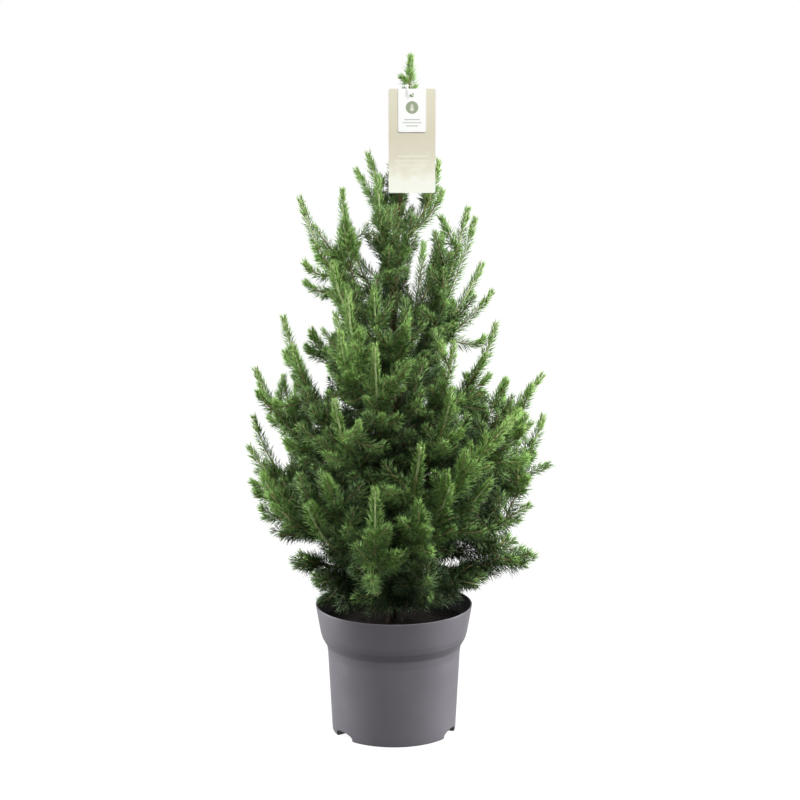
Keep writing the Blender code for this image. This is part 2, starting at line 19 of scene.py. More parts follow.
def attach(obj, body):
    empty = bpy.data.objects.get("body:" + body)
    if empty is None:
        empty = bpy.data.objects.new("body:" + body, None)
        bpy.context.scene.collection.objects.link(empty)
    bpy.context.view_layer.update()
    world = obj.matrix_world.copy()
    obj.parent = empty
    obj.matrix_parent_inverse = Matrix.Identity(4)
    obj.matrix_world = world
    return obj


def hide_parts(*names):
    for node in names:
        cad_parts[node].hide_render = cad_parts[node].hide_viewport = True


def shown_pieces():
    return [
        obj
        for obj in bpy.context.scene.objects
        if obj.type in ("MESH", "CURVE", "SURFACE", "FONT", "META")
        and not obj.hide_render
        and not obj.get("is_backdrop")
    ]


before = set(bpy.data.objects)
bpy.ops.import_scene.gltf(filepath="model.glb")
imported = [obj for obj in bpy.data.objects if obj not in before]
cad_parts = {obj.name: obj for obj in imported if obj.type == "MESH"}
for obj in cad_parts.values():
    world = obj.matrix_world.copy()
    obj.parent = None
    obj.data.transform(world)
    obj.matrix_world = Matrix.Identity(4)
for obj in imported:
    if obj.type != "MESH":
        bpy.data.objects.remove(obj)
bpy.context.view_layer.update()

NODES = sorted(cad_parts)
BOUGH_NODES = [name for name in NODES if name.startswith("bough_")]
FOLIAGE_NODES = [name for name in NODES if name.startswith("foliage_")]
print("nodes:", len(NODES), "boughs:", len(BOUGH_NODES), "masses:", len(FOLIAGE_NODES))

# %% [markdown]
# ## Colours and shader nodes
# Colours are easiest to read as the hex values of a screen. Blender computes with linear light, so
# one function turns them. The others add a shader node, set it and link it in one call, because
# every finish below is a short chain of the same few nodes.

# %% Helpers for materials
MM = 0.001


def linear(hex_colour):
    """The linear colour of an sRGB hex value such as #6F6D74."""
    channels = [int(hex_colour[k : k + 2], 16) / 255 for k in (1, 3, 5)]
    return [c / 12.92 if c <= 0.04045 else ((c + 0.055) / 1.055) ** 2.4 for c in channels] + [1.0]


def wire(tree, node, inputs):
    """Sets a node's inputs, each to a value or to another node's output."""
    for name, value in inputs.items():
        if isinstance(value, bpy.types.NodeSocket):
            tree.links.new(value, node.inputs[name])
        else:
            node.inputs[name].default_value = value


def add_node(tree, kind, inputs, **settings):
    """Adds a shader node with its inputs and settings."""
    made = tree.nodes.new("ShaderNode" + kind)
    for name, value in settings.items():
        setattr(made, name, value)
    wire(tree, made, inputs)
    return made


def new_material(name, roughness, specular=0.5):
    """A material with a Principled shader, its tree and its object coordinates."""
    material = bpy.data.materials.new(name)
    material.use_nodes = True
    tree = material.node_tree
    shader = tree.nodes["Principled BSDF"]
    wire(tree, shader, {"Roughness": roughness, "Specular IOR Level": specular})
    return material, tree, shader, add_node(tree, "TexCoord", {}).outputs["Object"]


def lumps(tree, place, size, detail=2.0):
    """Noise from 0 to 1 whose lumps have a size in metres."""
    return add_node(tree, "TexNoise", {"Vector": place, "Scale": 1 / size, "Detail": detail}).outputs[0]


def spread(tree, value, low, high, first=0.0, last=1.0):
    """Turns a value that runs from first to last into one that runs from low to high."""
    limits = {"From Min": first, "From Max": last, "To Min": low, "To Max": high}
    return add_node(tree, "MapRange", {"Value": value, **limits}).outputs[0]


def ramp(tree, factor, stops):
    """A colour ramp through (position, hex colour) stops."""
    made = add_node(tree, "ValToRGB", {"Fac": factor})
    elements = made.color_ramp.elements
    while len(elements) < len(stops):
        elements.new(0.5)
    for element, (position, colour) in zip(elements, stops):
        element.position = position
        element.color = linear(colour)
    return made.outputs["Color"]


def bump(tree, height, depth):
    """A bump from a height that runs from 0 to 1, with its real depth in metres."""
    return add_node(tree, "Bump", {"Height": height, "Distance": depth}).outputs["Normal"]


print("the grey #808080 in linear light:", round(linear("#808080")[0], 3))

# %% [markdown]
# ## Meshes from arrays and outlines
# A crown has far too many needles to model one at a time. Each kind of piece is worked out as an
# array of points and an array of corners, and one function turns the two into a mesh. The pot, the
# cards and their print are drawn as outlines instead, since their edges are what has to be right.

# %% Helpers for meshes
GAP = 0.0003
UP = Vector((0.0, 0.0, 1.0))


def into_scene(name, data):
    """A new object in the scene."""
    made = bpy.data.objects.new(name, data)
    bpy.context.scene.collection.objects.link(made)
    return made


def mesh_piece(name, points, faces, material, smooth=True):
    """A new object from an array of points and an array of faces that all have the same sides."""
    points = np.asarray(points, np.float32)
    faces = np.asarray(faces, np.int32)
    mesh = bpy.data.meshes.new(name)
    mesh.vertices.add(len(points))
    mesh.vertices.foreach_set("co", points.ravel())
    mesh.loops.add(faces.size)
    mesh.loops.foreach_set("vertex_index", faces.ravel())
    mesh.polygons.add(len(faces))
    mesh.polygons.foreach_set("loop_start", np.arange(0, faces.size, faces.shape[1], dtype=np.int32))
    mesh.polygons.foreach_set("use_smooth", np.full(len(faces), smooth))
    mesh.update(calc_edges=True)
    mesh.validate()
    mesh.materials.append(material)
    return into_scene(name, mesh)


def solid_piece(name, shape, material=None):
    """A new object from a closed bmesh shape, with its faces turned outwards."""
    bmesh.ops.recalc_face_normals(shape, faces=shape.faces)
    mesh = bpy.data.meshes.new(name)
    shape.to_mesh(mesh)
    shape.free()
    if material:
        mesh.materials.append(material)
    return into_scene(name, mesh)


def add_plate(shape, rear, front):
    """Adds a closed plate between two outlines with the same number of points."""
    rear = [shape.verts.new(point) for point in rear]
    front = [shape.verts.new(point) for point in front]
    shape.faces.new(rear)
    shape.faces.new(reversed(front))
    for k in range(len(rear)):
        n = (k + 1) % len(rear)
        shape.faces.new((rear[k], front[k], front[n], rear[n]))


def circle(radius, sides):
    """Points round a circle."""
    turns = [math.tau * k / sides for k in range(sides)]
    return [(radius * math.cos(turn), radius * math.sin(turn)) for turn in turns]


def evaluated_mesh(piece):
    """The mesh that an object's modifiers or bevel make."""
    graph = bpy.context.evaluated_depsgraph_get()
    return bpy.data.meshes.new_from_object(piece.evaluated_get(graph))


def cut_out(piece, cutters):
    """Cuts closed shapes out of a piece, then takes the shapes away."""
    for cutter in cutters:
        cut = piece.modifiers.new("cut", "BOOLEAN")
        cut.operation = "DIFFERENCE"
        cut.object = cutter
    mesh = evaluated_mesh(piece)
    piece.modifiers.clear()
    piece.data = mesh
    for cutter in cutters:
        bpy.data.objects.remove(cutter, do_unlink=True)


def finish_piece(piece, replaced):
    """Fixes a finished piece to the plant's one body and lets it stand for its CAD nodes."""
    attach(piece, "root")
    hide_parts(*replaced)
    piece.data.calc_loop_triangles()
    print(f"{piece.name}: {len(piece.data.loop_triangles)} triangles")


# %% [markdown]
# ## Camera
# The plant is seen from 2.65 m in front and a little above, as on a studio table: the lens looks
# down by 10.8 degrees and shows about 0.95 m at the plant. A long lens keeps the pot's sides
# nearly parallel.

# %% Camera
CAMERA_PLACE = Vector((0.0074, -2.65, 0.914))
CAMERA_TILT = math.radians(10.8)
CAMERA_LENS, SENSOR_WIDTH = 101.8, 36.0


def make_camera():
    data = bpy.data.cameras.new("studio_camera")
    data.sensor_width = SENSOR_WIDTH
    data.lens = CAMERA_LENS
    camera = into_scene("studio_camera", data)
    camera.location = CAMERA_PLACE
    camera.rotation_euler = (math.pi / 2 - CAMERA_TILT, 0.0, 0.0)
    bpy.context.scene.camera = camera


make_camera()

# %% [markdown]
# ## White studio
# The floor is a plain white sheet. It glows by itself, so that it stays white to its far edge with
# only a soft shadow round the pot, and it is hidden from the rays that light the plant, or it would
# wash out the pot's shaded foot. Two tall soft boxes beside the plant draw the pale strips down the
# pot's sides, a large one above and to the right wakes the young tips, and the room fills the rest.
# The camera sees the room as plain white.

# %% Floor, room and lamps
bpy.context.scene.view_settings.view_transform = "Standard"
WHITE = linear("#FFFFFF")
FLOOR_HALF = 9.0
FLOOR_GREY = "#505050"
FLOOR_GLOW = 0.94
ROOM_STRENGTH = 0.85
FRONT_SHARE, BELOW_SHARE = 0.34, 0.40
# (name, place, what it faces, width and height in metres, power in watts)
SOFT_BOXES = (
    ("soft_box_left", (-1.6, 0.35, 0.6), (0, 0, 0.35), 0.8, 1.7, 52),
    ("soft_box_right", (1.6, 0.35, 0.6), (0, 0, 0.35), 0.8, 1.7, 50),
    ("soft_box_top", (0.8, -1.5, 2.3), (0, 0, 0.45), 1.1, 1.1, 64),
)


def make_floor():
    material, tree, shader, _ = new_material("white_paper_sweep", 0.9, 0.1)
    glow = {"Emission Color": WHITE, "Emission Strength": FLOOR_GLOW}
    wire(tree, shader, {"Base Color": linear(FLOOR_GREY), **glow})
    corners = [(-1, -1), (1, -1), (1, 1), (-1, 1)]
    points = [(x * FLOOR_HALF, y * FLOOR_HALF, -GAP) for x, y in corners]
    floor = mesh_piece("floor", points, [(0, 1, 2, 3)], material, smooth=False)
    floor.visible_diffuse = False
    floor.visible_glossy = False
    floor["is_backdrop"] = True


def make_room():
    """A room that is white to the camera, and lights the plant more from the sides and above."""
    world = bpy.data.worlds.new("studio_room")
    bpy.context.scene.world = world
    world.use_nodes = True
    tree = world.node_tree
    direction = add_node(tree, "TexCoord", {}).outputs["Generated"]
    split = add_node(tree, "SeparateXYZ", {"Vector": direction})
    front = spread(tree, split.outputs["Y"], FRONT_SHARE, 1.0, -1.0, -0.1)
    upper = spread(tree, split.outputs["Z"], BELOW_SHARE, 1.0, -0.5, 0.5)
    shade = add_node(tree, "Math", {0: front, 1: upper}, operation="MULTIPLY")
    lit = add_node(tree, "Background", {"Color": shade.outputs[0], "Strength": ROOM_STRENGTH})
    seen = add_node(tree, "Background", {"Color": WHITE, "Strength": 1.0})
    camera_ray = add_node(tree, "LightPath", {}).outputs["Is Camera Ray"]
    shader = add_node(tree, "MixShader", {0: camera_ray, 1: lit.outputs[0], 2: seen.outputs[0]})
    wire(tree, tree.nodes["World Output"], {"Surface": shader.outputs[0]})


def make_soft_box(name, place, target, width, height, power):
    data = bpy.data.lights.new(name, "AREA")
    data.shape = "RECTANGLE"
    data.size = width
    data.size_y = height
    data.energy = power
    lamp = into_scene(name, data)
    lamp.location = place
    lamp.rotation_euler = (Vector(target) - Vector(place)).to_track_quat("-Z", "Y").to_euler()


make_floor()
make_room()
for soft_box in SOFT_BOXES:
    make_soft_box(*soft_box)
print("soft boxes:", len(SOFT_BOXES))

# %% [markdown]
# ## The pot
# A nursery pot is injection moulded from grey polypropylene: a thin wall that bends outwards at a
# sloped step into a wide collar, so that pots nest without sticking. It is a turned shape, so an
# outline is drawn once, its corners are rounded by small arcs, and it is swept round the axis.

# %% The pot's outline
POT_HEIGHT = 0.158
# (radius, height) of the outside wall, from the foot to the rim
POT_BENDS = (
    (0.0751, 0.0012), (0.0801, 0.0975), (0.0814, 0.1075),
    (0.0871, 0.1175), (0.0891, 0.1245), (0.0950, 0.1568),
)
POT_BASE, POT_RIM = POT_BENDS[0][0], POT_BENDS[-1][0]
POT_WALL = 0.0018
POT_FLOOR = 0.0065
POT_EDGE = 0.0012
POT_ROUNDING, ROUNDING_SHARE = 0.0009, 0.45
FOOT_RING_RADIUS = 0.064
FOOT_RECESS_DEPTH = 0.0045
FOOT_CENTRE_RADIUS = 0.021
POT_SIDES = 128
SHARP_EDGE = math.radians(40)
BAND_HEIGHTS = (0.0100, 0.0112)


def rounded(outline, radius, steps=4):
    """An open outline with each inner corner replaced by a small arc."""
    made = [outline[0]]
    for before, corner, after in zip(outline, outline[1:], outline[2:]):
        corner = Vector(corner)
        back, forth = Vector(before) - corner, Vector(after) - corner
        reach = min(radius, back.length * ROUNDING_SHARE, forth.length * ROUNDING_SHARE)
        start, end = corner + back.normalized() * reach, corner + forth.normalized() * reach
        for k in range(steps + 1):
            t = k / steps
            point = start * (1 - t) ** 2 + corner * 2 * t * (1 - t) + end * t * t
            made.append((point.x, point.y))
    return made + [outline[-1]]


def turned(name, outline, sides, material):
    """Sweeps an outline of (radius, height) points round the upright axis into a closed mesh."""
    shape = bmesh.new()
    rows = []
    for radius, height in outline:
        if radius == 0.0:
            rows.append([shape.verts.new((0.0, 0.0, height))] * sides)
        else:
            rows.append([shape.verts.new((x, y, height)) for x, y in circle(radius, sides)])
    for low, high in zip(rows, rows[1:]):
        for k in range(sides):
            n = (k + 1) % sides
            corners = [low[k], low[n], high[n], high[k]]
            shape.faces.new([c for i, c in enumerate(corners) if c != corners[i - 1]])
    piece = solid_piece(name, shape, material)
    piece.data.shade_smooth()
    piece.data.set_sharp_from_angle(angle=SHARP_EDGE)
    return piece


def inner_radius(height):
    """The radius of the pot's inside wall at a height."""
    radii, heights = zip(*POT_BENDS)
    return float(np.interp(height, heights, radii)) - POT_WALL


def pot_outline():
    """The outline of the pot's wall, from the middle of its foot over the rim to its floor."""
    outline = [(0.0, 0.0), (FOOT_CENTRE_RADIUS, 0.0)]
    outline += [(FOOT_CENTRE_RADIUS + POT_EDGE, FOOT_RECESS_DEPTH)]
    outline += [(FOOT_RING_RADIUS - POT_EDGE, FOOT_RECESS_DEPTH), (FOOT_RING_RADIUS, 0.0)]
    band = [(inner_radius(z) + POT_WALL, z) for z in BAND_HEIGHTS]
    outline += [(POT_BASE - POT_EDGE, 0.0), POT_BENDS[0], *band, *POT_BENDS[1:-1]]
    outline += [(POT_RIM, POT_HEIGHT), (POT_RIM - POT_WALL, POT_HEIGHT)]
    outline += [(radius - POT_WALL, height) for radius, height in reversed(POT_BENDS[1:-1])]
    outline += [(inner_radius(z), z) for z in reversed(BAND_HEIGHTS)]
    return outline + [(inner_radius(POT_FLOOR), POT_FLOOR), (0.0, POT_FLOOR)]


print("outline corners:", len(pot_outline()), "wall:", POT_WALL / MM, "mm")

# %% [markdown]
# ## Moulded polypropylene
# Polypropylene is a waxy, slightly cloudy plastic. Straight from a fine-textured steel mould it has
# a satin surface with a grain of about 0.6 mm that softens every reflection. Its IOR is 1.49. The
# grey carries a breath of violet, and handling leaves the gloss a little uneven.

# %% Grey polypropylene
POT_IOR = 1.49
POT_GRAIN, POT_GRAIN_DEPTH = 0.6 * MM, 0.02 * MM
POT_CLOUDS = 1 / 18
STAIN_SIZE, STAIN_DEPTH = 6 * MM, 0.05 * MM


def make_polypropylene():
    material, tree, shader, place = new_material("moulded_polypropylene", 0.42)
    grain = lumps(tree, place, POT_GRAIN)
    cloud = lumps(tree, place, POT_CLOUDS, 3.0)
    colour = ramp(tree, cloud, [(0.3, "#66636A"), (0.7, "#6D6A71")])
    gloss = spread(tree, cloud, 0.32, 0.44)
    wire(tree, shader, {"IOR": POT_IOR, "Base Color": colour, "Roughness": gloss})
    wire(tree, shader, {"Normal": bump(tree, grain, POT_GRAIN_DEPTH)})
    return material


def make_stained_and_shaded_wall():
    """The pot's inside: the same plastic under a film of damp peat that has run down it, darkened further
    by painted shade.
    """
    material, tree, shader, place = new_material("peat_stained_and_shaded_polypropylene", 0.7, 0.3)
    stretch = add_node(tree, "Mapping", {"Vector": place, "Scale": (1.0, 1.0, 0.25)})
    film = lumps(tree, stretch.outputs[0], STAIN_SIZE, 4.0)
    # Near-black colours: partly the peat film, partly painted shade deep in the pot.
    colour = ramp(tree, film, [(0.3, "#161412"), (0.55, "#211F1E"), (0.75, "#343133")])
    wire(tree, shader, {"Base Color": colour, "Normal": bump(tree, film, STAIN_DEPTH)})
    return material


polypropylene = make_polypropylene()
stained_and_shaded_wall = make_stained_and_shaded_wall()
print("finishes:", polypropylene.name, stained_and_shaded_wall.name)

# %% [markdown]
# ## Turning the pot
# Water leaves through three low arches in the foot, a third of a turn apart. In a mould they come from
# steel inserts; here an arched plug is cut out of the turned shape at each place. The inside wall then
# takes the stained finish: partly the film that damp peat always leaves on it, and partly painted shade
# that makes it near black, since little light reaches down into the pot.

# %% Turn the pot and cut its drainage arches
NOTCH_BEARINGS = (-54.0, 66.0, 186.0)
NOTCH_WIDTH, NOTCH_HEIGHT = 0.032, 0.0090
NOTCH_ROUNDING = 0.55
NOTCH_STEPS = 24
NOTCH_RADII = (0.0615, 0.083)
FACING_IN = -0.5


def heading(bearing):
    """The level direction at a bearing in degrees: 0 is the front, 90 is +X."""
    angle = math.radians(bearing)
    return Vector((math.sin(angle), -math.cos(angle), 0.0))


def notch_cutter(bearing):
    """A plug with an arched outline, from inside the foot's wall to outside it."""
    outward = heading(bearing)
    along = UP.cross(outward)
    outline = [(-NOTCH_WIDTH / 2, -NOTCH_HEIGHT), (NOTCH_WIDTH / 2, -NOTCH_HEIGHT)]
    for step in range(NOTCH_STEPS + 1):
        angle = math.pi * step / NOTCH_STEPS
        arch = max(0.0, math.sin(angle)) ** NOTCH_ROUNDING
        outline.append((NOTCH_WIDTH / 2 * math.cos(angle), NOTCH_HEIGHT * arch))
    shape = bmesh.new()
    rings = [[outward * reach + along * s + UP * z for s, z in outline] for reach in NOTCH_RADII]
    add_plate(shape, *rings)
    return solid_piece("arch", shape)


def faces_in(face):
    """Whether a face of the pot looks towards the pot's axis."""
    outwards = face.normal.x * face.center.x + face.normal.y * face.center.y
    return outwards < FACING_IN * face.center.xy.length


def make_pot():
    pot = turned("pot_shell", rounded(pot_outline(), POT_ROUNDING), POT_SIDES, polypropylene)
    cut_out(pot, [notch_cutter(bearing) for bearing in NOTCH_BEARINGS])
    # The inward faces above the floor take the near-black wall, which is partly painted shade.
    pot.data.materials.append(stained_and_shaded_wall)
    for face in pot.data.polygons:
        if faces_in(face) and face.center.z > POT_FLOOR:
            face.material_index = 1
    finish_piece(pot, ["pot"])


make_pot()

# %% [markdown]
# ## The compost
# Peat compost is dark, damp and crumbly. Its top isn't flat: watering leaves hollows, and it stands
# a little higher round the stem. The surface is a fine disc pushed up and down by noise at three
# scales, from hollows of 40 mm to crumbs of 3 mm, with a plain foot inside the pot.

# %% Compost
SOIL_TOP = 0.135
SOIL_FOOT = 0.0098
SOIL_RINGS, SOIL_SPOKES = 70, 150
SOIL_SUNK = 1.0 * MM
SOIL_EDGE = 12
MOUND_HEIGHT, MOUND_SHARE = 2.0 * MM, 0.25
MIDDLE_RING = 0.05
CRUMB_SIZE, CRUMB_DEPTH, FIBRE_SIZE = 2.5 * MM, 0.5 * MM, 1.2 * MM
# (size, depth) of hollows, lumps and crumbs
CRUMBS = ((40 * MM, 1.6 * MM), (9 * MM, 1.3 * MM), (3 * MM, 1.2 * MM))


def make_compost_finish():
    """Damp peat: nearly black, with a few fibres and crumbs that have dried to brown."""
    material, tree, shader, place = new_material("damp_peat_compost", 0.85, 0.3)
    crumbs = add_node(tree, "TexVoronoi", {"Vector": place, "Scale": 1 / CRUMB_SIZE})
    fibres = lumps(tree, place, FIBRE_SIZE, 4.0)
    colour = ramp(tree, fibres, [(0.35, "#17130F"), (0.6, "#2A211A"), (0.8, "#46382B")])
    relief = bump(tree, crumbs.outputs["Distance"], CRUMB_DEPTH)
    wire(tree, shader, {"Base Color": colour, "Normal": relief})
    return material


def compost_height(x, y, share):
    """The height of the compost's surface, which meets the wall at its CAD height."""
    rise = 0.0
    for size, depth in CRUMBS:
        rise += depth * noise.noise(Vector((x, y, 0.0)) / size)
    mound = MOUND_HEIGHT * math.exp(-((share / MOUND_SHARE) ** 2))
    return SOIL_TOP - SOIL_SUNK + (rise + mound) * min(1.0, (1 - share) * SOIL_EDGE)


def make_compost():
    """Rings of points from the middle of the top out to the wall, down it and under the foot."""
    reach = inner_radius(SOIL_TOP) - 2 * GAP
    points = []
    for r in range(SOIL_RINGS + 1):
        share = max(r, MIDDLE_RING) / SOIL_RINGS
        ring = circle(reach * share, SOIL_SPOKES)
        points += [(x, y, compost_height(x, y, share)) for x, y in ring]
    bends = [z for _, z in reversed(POT_BENDS) if SOIL_FOOT < z < SOIL_TOP] + [SOIL_FOOT]
    sides = [(inner_radius(z) - 2 * GAP, z) for z in bends]
    sides.append((sides[-1][0] * MIDDLE_RING, SOIL_FOOT))
    for radius, z in sides:
        points += [(x, y, z) for x, y in circle(radius, SOIL_SPOKES)]
    rings = SOIL_RINGS + 1 + len(sides)
    k = np.arange(SOIL_SPOKES)
    n = (k + 1) % SOIL_SPOKES
    faces = []
    for r in range(rings):
        low, high = r * SOIL_SPOKES, (r + 1) % rings * SOIL_SPOKES
        faces.append(np.stack([low + k, high + k, high + n, low + n], 1))
    compost = mesh_piece("compost", points, np.concatenate(faces), make_compost_finish())
    finish_piece(compost, ["soil"])


make_compost()

# %% [markdown]
# ## Where the wood runs
# Wood grows as a tree of curves. The trunk rises nearly straight from the compost and leans a
# little near its top. Each limb leaves it outwards and then turns up to the light, because a young
# spruce's shoots all aim for the sky. A curve with three points is enough for that, and it can be
# cut, measured and followed.

# %% Curves of trunk, limbs and twigs
TRUNK_FOOT = SOIL_TOP + GAP
TRUNK_TIP = 0.776
TRUNK_FOOT_RADIUS, TRUNK_TIP_RADIUS, TRUNK_TAPER_POWER = 0.0066, 0.0011, 0.8
TRUNK_FLARE, TRUNK_FLARE_HEIGHT = 0.0042, 0.013
TRUNK_LEAN, TRUNK_LEAN_POWER = 0.0185, 3.5
TRUNK_SWAY, TRUNK_SWAY_BACK = 0.0018, 0.4
LIMB_BEND = 0.52
TWIG_ANGLE = math.radians(43.0)
TWIG_LIFT = 0.45
UPRIGHT = 1e-4


def trunk_share(height):
    """How far up the trunk a height is, from 0 to 1."""
    return min(max((height - TRUNK_FOOT) / (TRUNK_TIP - TRUNK_FOOT), 0.0), 1.0)


def trunk_centre(height):
    """The trunk's middle at a height: it sways a little and leans at its top."""
    share = trunk_share(height)
    lean = TRUNK_LEAN * share**TRUNK_LEAN_POWER
    sway = TRUNK_SWAY * math.sin(math.pi * share)
    return Vector((lean - sway, TRUNK_SWAY_BACK * sway, height))


def trunk_radius(height):
    """The trunk's radius at a height, flared at its foot."""
    share = trunk_share(height) ** TRUNK_TAPER_POWER
    taper = TRUNK_FOOT_RADIUS + (TRUNK_TIP_RADIUS - TRUNK_FOOT_RADIUS) * share
    return taper + TRUNK_FLARE * math.exp((TRUNK_FOOT - height) / TRUNK_FLARE_HEIGHT)


def curve_point(corners, t):
    """The point of a quadratic Bezier curve at t."""
    a, b, c = corners
    return a * (1 - t) ** 2 + b * 2 * t * (1 - t) + c * t * t


def curve_direction(corners, t):
    """The unit direction of the curve at t."""
    a, b, c = corners
    return ((b - a) * (1 - t) + (c - b) * t).normalized()


def curve_length(corners, steps=12):
    points = [curve_point(corners, k / steps) for k in range(steps + 1)]
    return sum((q - p).length for p, q in zip(points, points[1:]))


def cut_curve(corners, start):
    """The part of a quadratic Bezier curve after start."""
    _, b, c = corners
    return (curve_point(corners, start), b + (c - b) * start, c)


def level(direction):
    """The unit direction without its rise."""
    return Vector((direction.x, direction.y, 0.0)).normalized()


def across(direction):
    """Two unit vectors square to a direction; the first one is level."""
    side = direction.cross(UP)
    if side.length < UPRIGHT:
        side = Vector((1.0, 0.0, 0.0))
    side.normalize()
    return side, side.cross(direction).normalized()


def tip_point(tip):
    """Where a tip of (bearing, reach in mm, height in mm, slope) is."""
    bearing, reach, height, _ = tip
    return heading(bearing) * (reach / 1000) + UP * (height / 1000)


def rising_curve(start, tip, bend=LIMB_BEND):
    """A limb's curve: it leaves its start outwards and turns up to the slope of its tip."""
    end = tip_point(tip)
    slope = math.radians(tip[3])
    tip_direction = level(end - start) * math.cos(slope) + UP * math.sin(slope)
    return (start, end - tip_direction * ((end - start).length * bend), end)


def limb_curve(foot, tip):
    """The curve of a limb from just clear of the trunk's bark."""
    centre = trunk_centre(foot)
    outward = level(tip_point(tip) - centre)
    return rising_curve(centre + outward * (trunk_radius(foot) + 2 * GAP), tip)


def side_curve(parent, place, turn, length, angle=TWIG_ANGLE, lift=TWIG_LIFT):
    """A twig that leaves its parent at an angle and bends up towards the light."""
    start = curve_point(parent, place)
    along = curve_direction(parent, place)
    u, v = across(along)
    sideways = u * math.cos(turn) + v * math.sin(turn)
    out = along * math.cos(angle) + sideways * math.sin(angle)
    middle = start + out * (length / 2)
    return (start, middle, middle + (out + UP * lift).normalized() * (length / 2))


print("trunk:", round((TRUNK_TIP - TRUNK_FOOT) / MM), "mm from the compost to the leader")

# %% [markdown]
# ## Tubes
# Trunk, boughs and twigs are tubes of the same kind with different numbers of sides. Each ring is
# set square to its curve. A bent curve lies in one plane, so that plane's normal gives every ring
# the same start and the tube never twists.

# %% Tubes round a curve
NEARLY_STRAIGHT = 1e-3
ASIDE = (0.3, 0.2, 1.0)


def frames(corners, shares):
    """Points of a curve, its unit directions and two unit vectors square to each."""
    a, b, c = (np.array(corner) for corner in corners)
    t = np.asarray(shares, float)[:, None]
    points = a * (1 - t) ** 2 + b * 2 * t * (1 - t) + c * t * t
    along = (b - a) * (1 - t) + (c - b) * t
    along /= np.linalg.norm(along, axis=1, keepdims=True)
    side = np.cross(b - a, c - b)
    if np.linalg.norm(side) < NEARLY_STRAIGHT * np.linalg.norm(b - a) * np.linalg.norm(c - b):
        side = np.cross(b - a, ASIDE)
    side = np.repeat(side[None] / np.linalg.norm(side), len(t), 0)
    return points, along, side, np.cross(side, along)


def tube(points, side, other, radii, sides):
    """Rings of points round a line, closed by a point at each end, with their triangles."""
    turns = (np.arange(sides) / sides * math.tau)[None, :, None]
    outwards = np.cos(turns) * side[:, None] + np.sin(turns) * other[:, None]
    rings = points[:, None] + outwards * np.asarray(radii).reshape(len(points), -1, 1)
    k = np.arange(sides)
    n = (k + 1) % sides
    faces = []
    for r in range(len(points) - 1):
        low, high = r * sides, (r + 1) * sides
        faces.append(np.stack([low + k, low + n, high + n], 1))
        faces.append(np.stack([low + k, high + n, high + k], 1))
    foot, top = len(points) * sides, len(points) * sides + 1
    last = (len(points) - 1) * sides
    faces.append(np.stack([n, k, np.full(sides, foot)], 1))
    faces.append(np.stack([last + k, last + n, np.full(sides, top)], 1))
    return np.concatenate([rings.reshape(-1, 3), points[:1], points[-1:]]), np.concatenate(faces)


def join(parts):
    """Joins lists of (points, faces) into one pair of arrays."""
    counts = np.cumsum([0] + [len(points) for points, _ in parts])
    faces = [face + start for (_, face), start in zip(parts, counts)]
    return np.concatenate([points for points, _ in parts]), np.concatenate(faces)


points, _, side, other = frames((UP * 0.0, UP * 0.5, UP), (0.0, 0.5, 1.0))
print("a tube of 3 rings and 6 sides:", len(tube(points, side, other, [0.1] * 3, 6)[1]), "triangles")

# %% [markdown]
# ## Bark
# A spruce this young has thin brown bark: on the trunk fine upright cracks and small scales, on the
# boughs the little pegs that old needles leave behind. The relief is real geometry. Noise that is
# stretched along the wood pushes each point of a fine tube in or out by a few tenths of a
# millimetre, and a bump adds what is finer still.

# %% The wood with its relief
SCALE_TALL, SCALE_WIDE, SCALE_DEPTH = 7 * MM, 2.2 * MM, 0.45 * MM
FINE_SCALES, FINE_SHARE, THICK_BARK, CRACK_DEPTH = 2.3, 0.5, 0.005, 0.3 * MM
PEG_SIZE, PEG_DEPTH = 2.4 * MM, 0.28 * MM
# Painted shade at the trunk's foot, under the low foliage: full below the first height, gone above the
# second.
FOOT_SHADE_FROM, FOOT_SHADE_TO = SOIL_TOP + 0.02, SOIL_TOP + 0.12
ROOT_LOBES, ROOT_LOBE_DEPTH, ROOT_LOBE_HEIGHT = 3, 0.10, 0.020
BOUGH_FOOT_RADIUS, BOUGH_TIP_RADIUS = 0.0034, 0.0020
TRUNK_RINGS, TRUNK_SIDES, TRUNK_RING_POWER = 300, 30, 1.1
BOUGH_RINGS, BOUGH_SIDES, BOUGH_TAPER_POWER = 34, 14, 0.7


def bark_relief(x, y, height, depth):
    """How far bark stands out: scales that are taller than they are wide."""
    cells = Vector((x / SCALE_WIDE, y / SCALE_WIDE, height / SCALE_TALL))
    return depth * (noise.noise(cells) + FINE_SHARE * noise.noise(cells * FINE_SCALES))


def make_bark_finish():
    """Brown spruce bark, nearly black in its cracks, and darker near the compost with painted shade from
    the low foliage.
    """
    material, tree, shader, place = new_material("young_spruce_bark", 0.82, 0.3)
    stretch = add_node(tree, "Mapping", {"Vector": place, "Scale": (1.0, 1.0, 0.35)})
    grain = lumps(tree, stretch.outputs[0], SCALE_WIDE, 5.0)
    unshaded_bark = ramp(tree, grain, [(0.32, "#2A2014"), (0.5, "#5C4A32"), (0.72, "#8A7656")])
    # Painted shade: the darker ramp stands for the shadow at the trunk's foot, and the mix below fades it
    # out upwards.
    damp = ramp(tree, grain, [(0.32, "#17110C"), (0.72, "#3A2E22")])
    height = add_node(tree, "SeparateXYZ", {"Vector": place}).outputs["Z"]
    dried = spread(tree, height, 0.0, 1.0, FOOT_SHADE_FROM, FOOT_SHADE_TO)
    colour = add_node(tree, "MixRGB", {0: dried, 1: damp, 2: unshaded_bark}).outputs[0]
    wire(tree, shader, {"Base Color": colour, "Normal": bump(tree, grain, CRACK_DEPTH)})
    return material


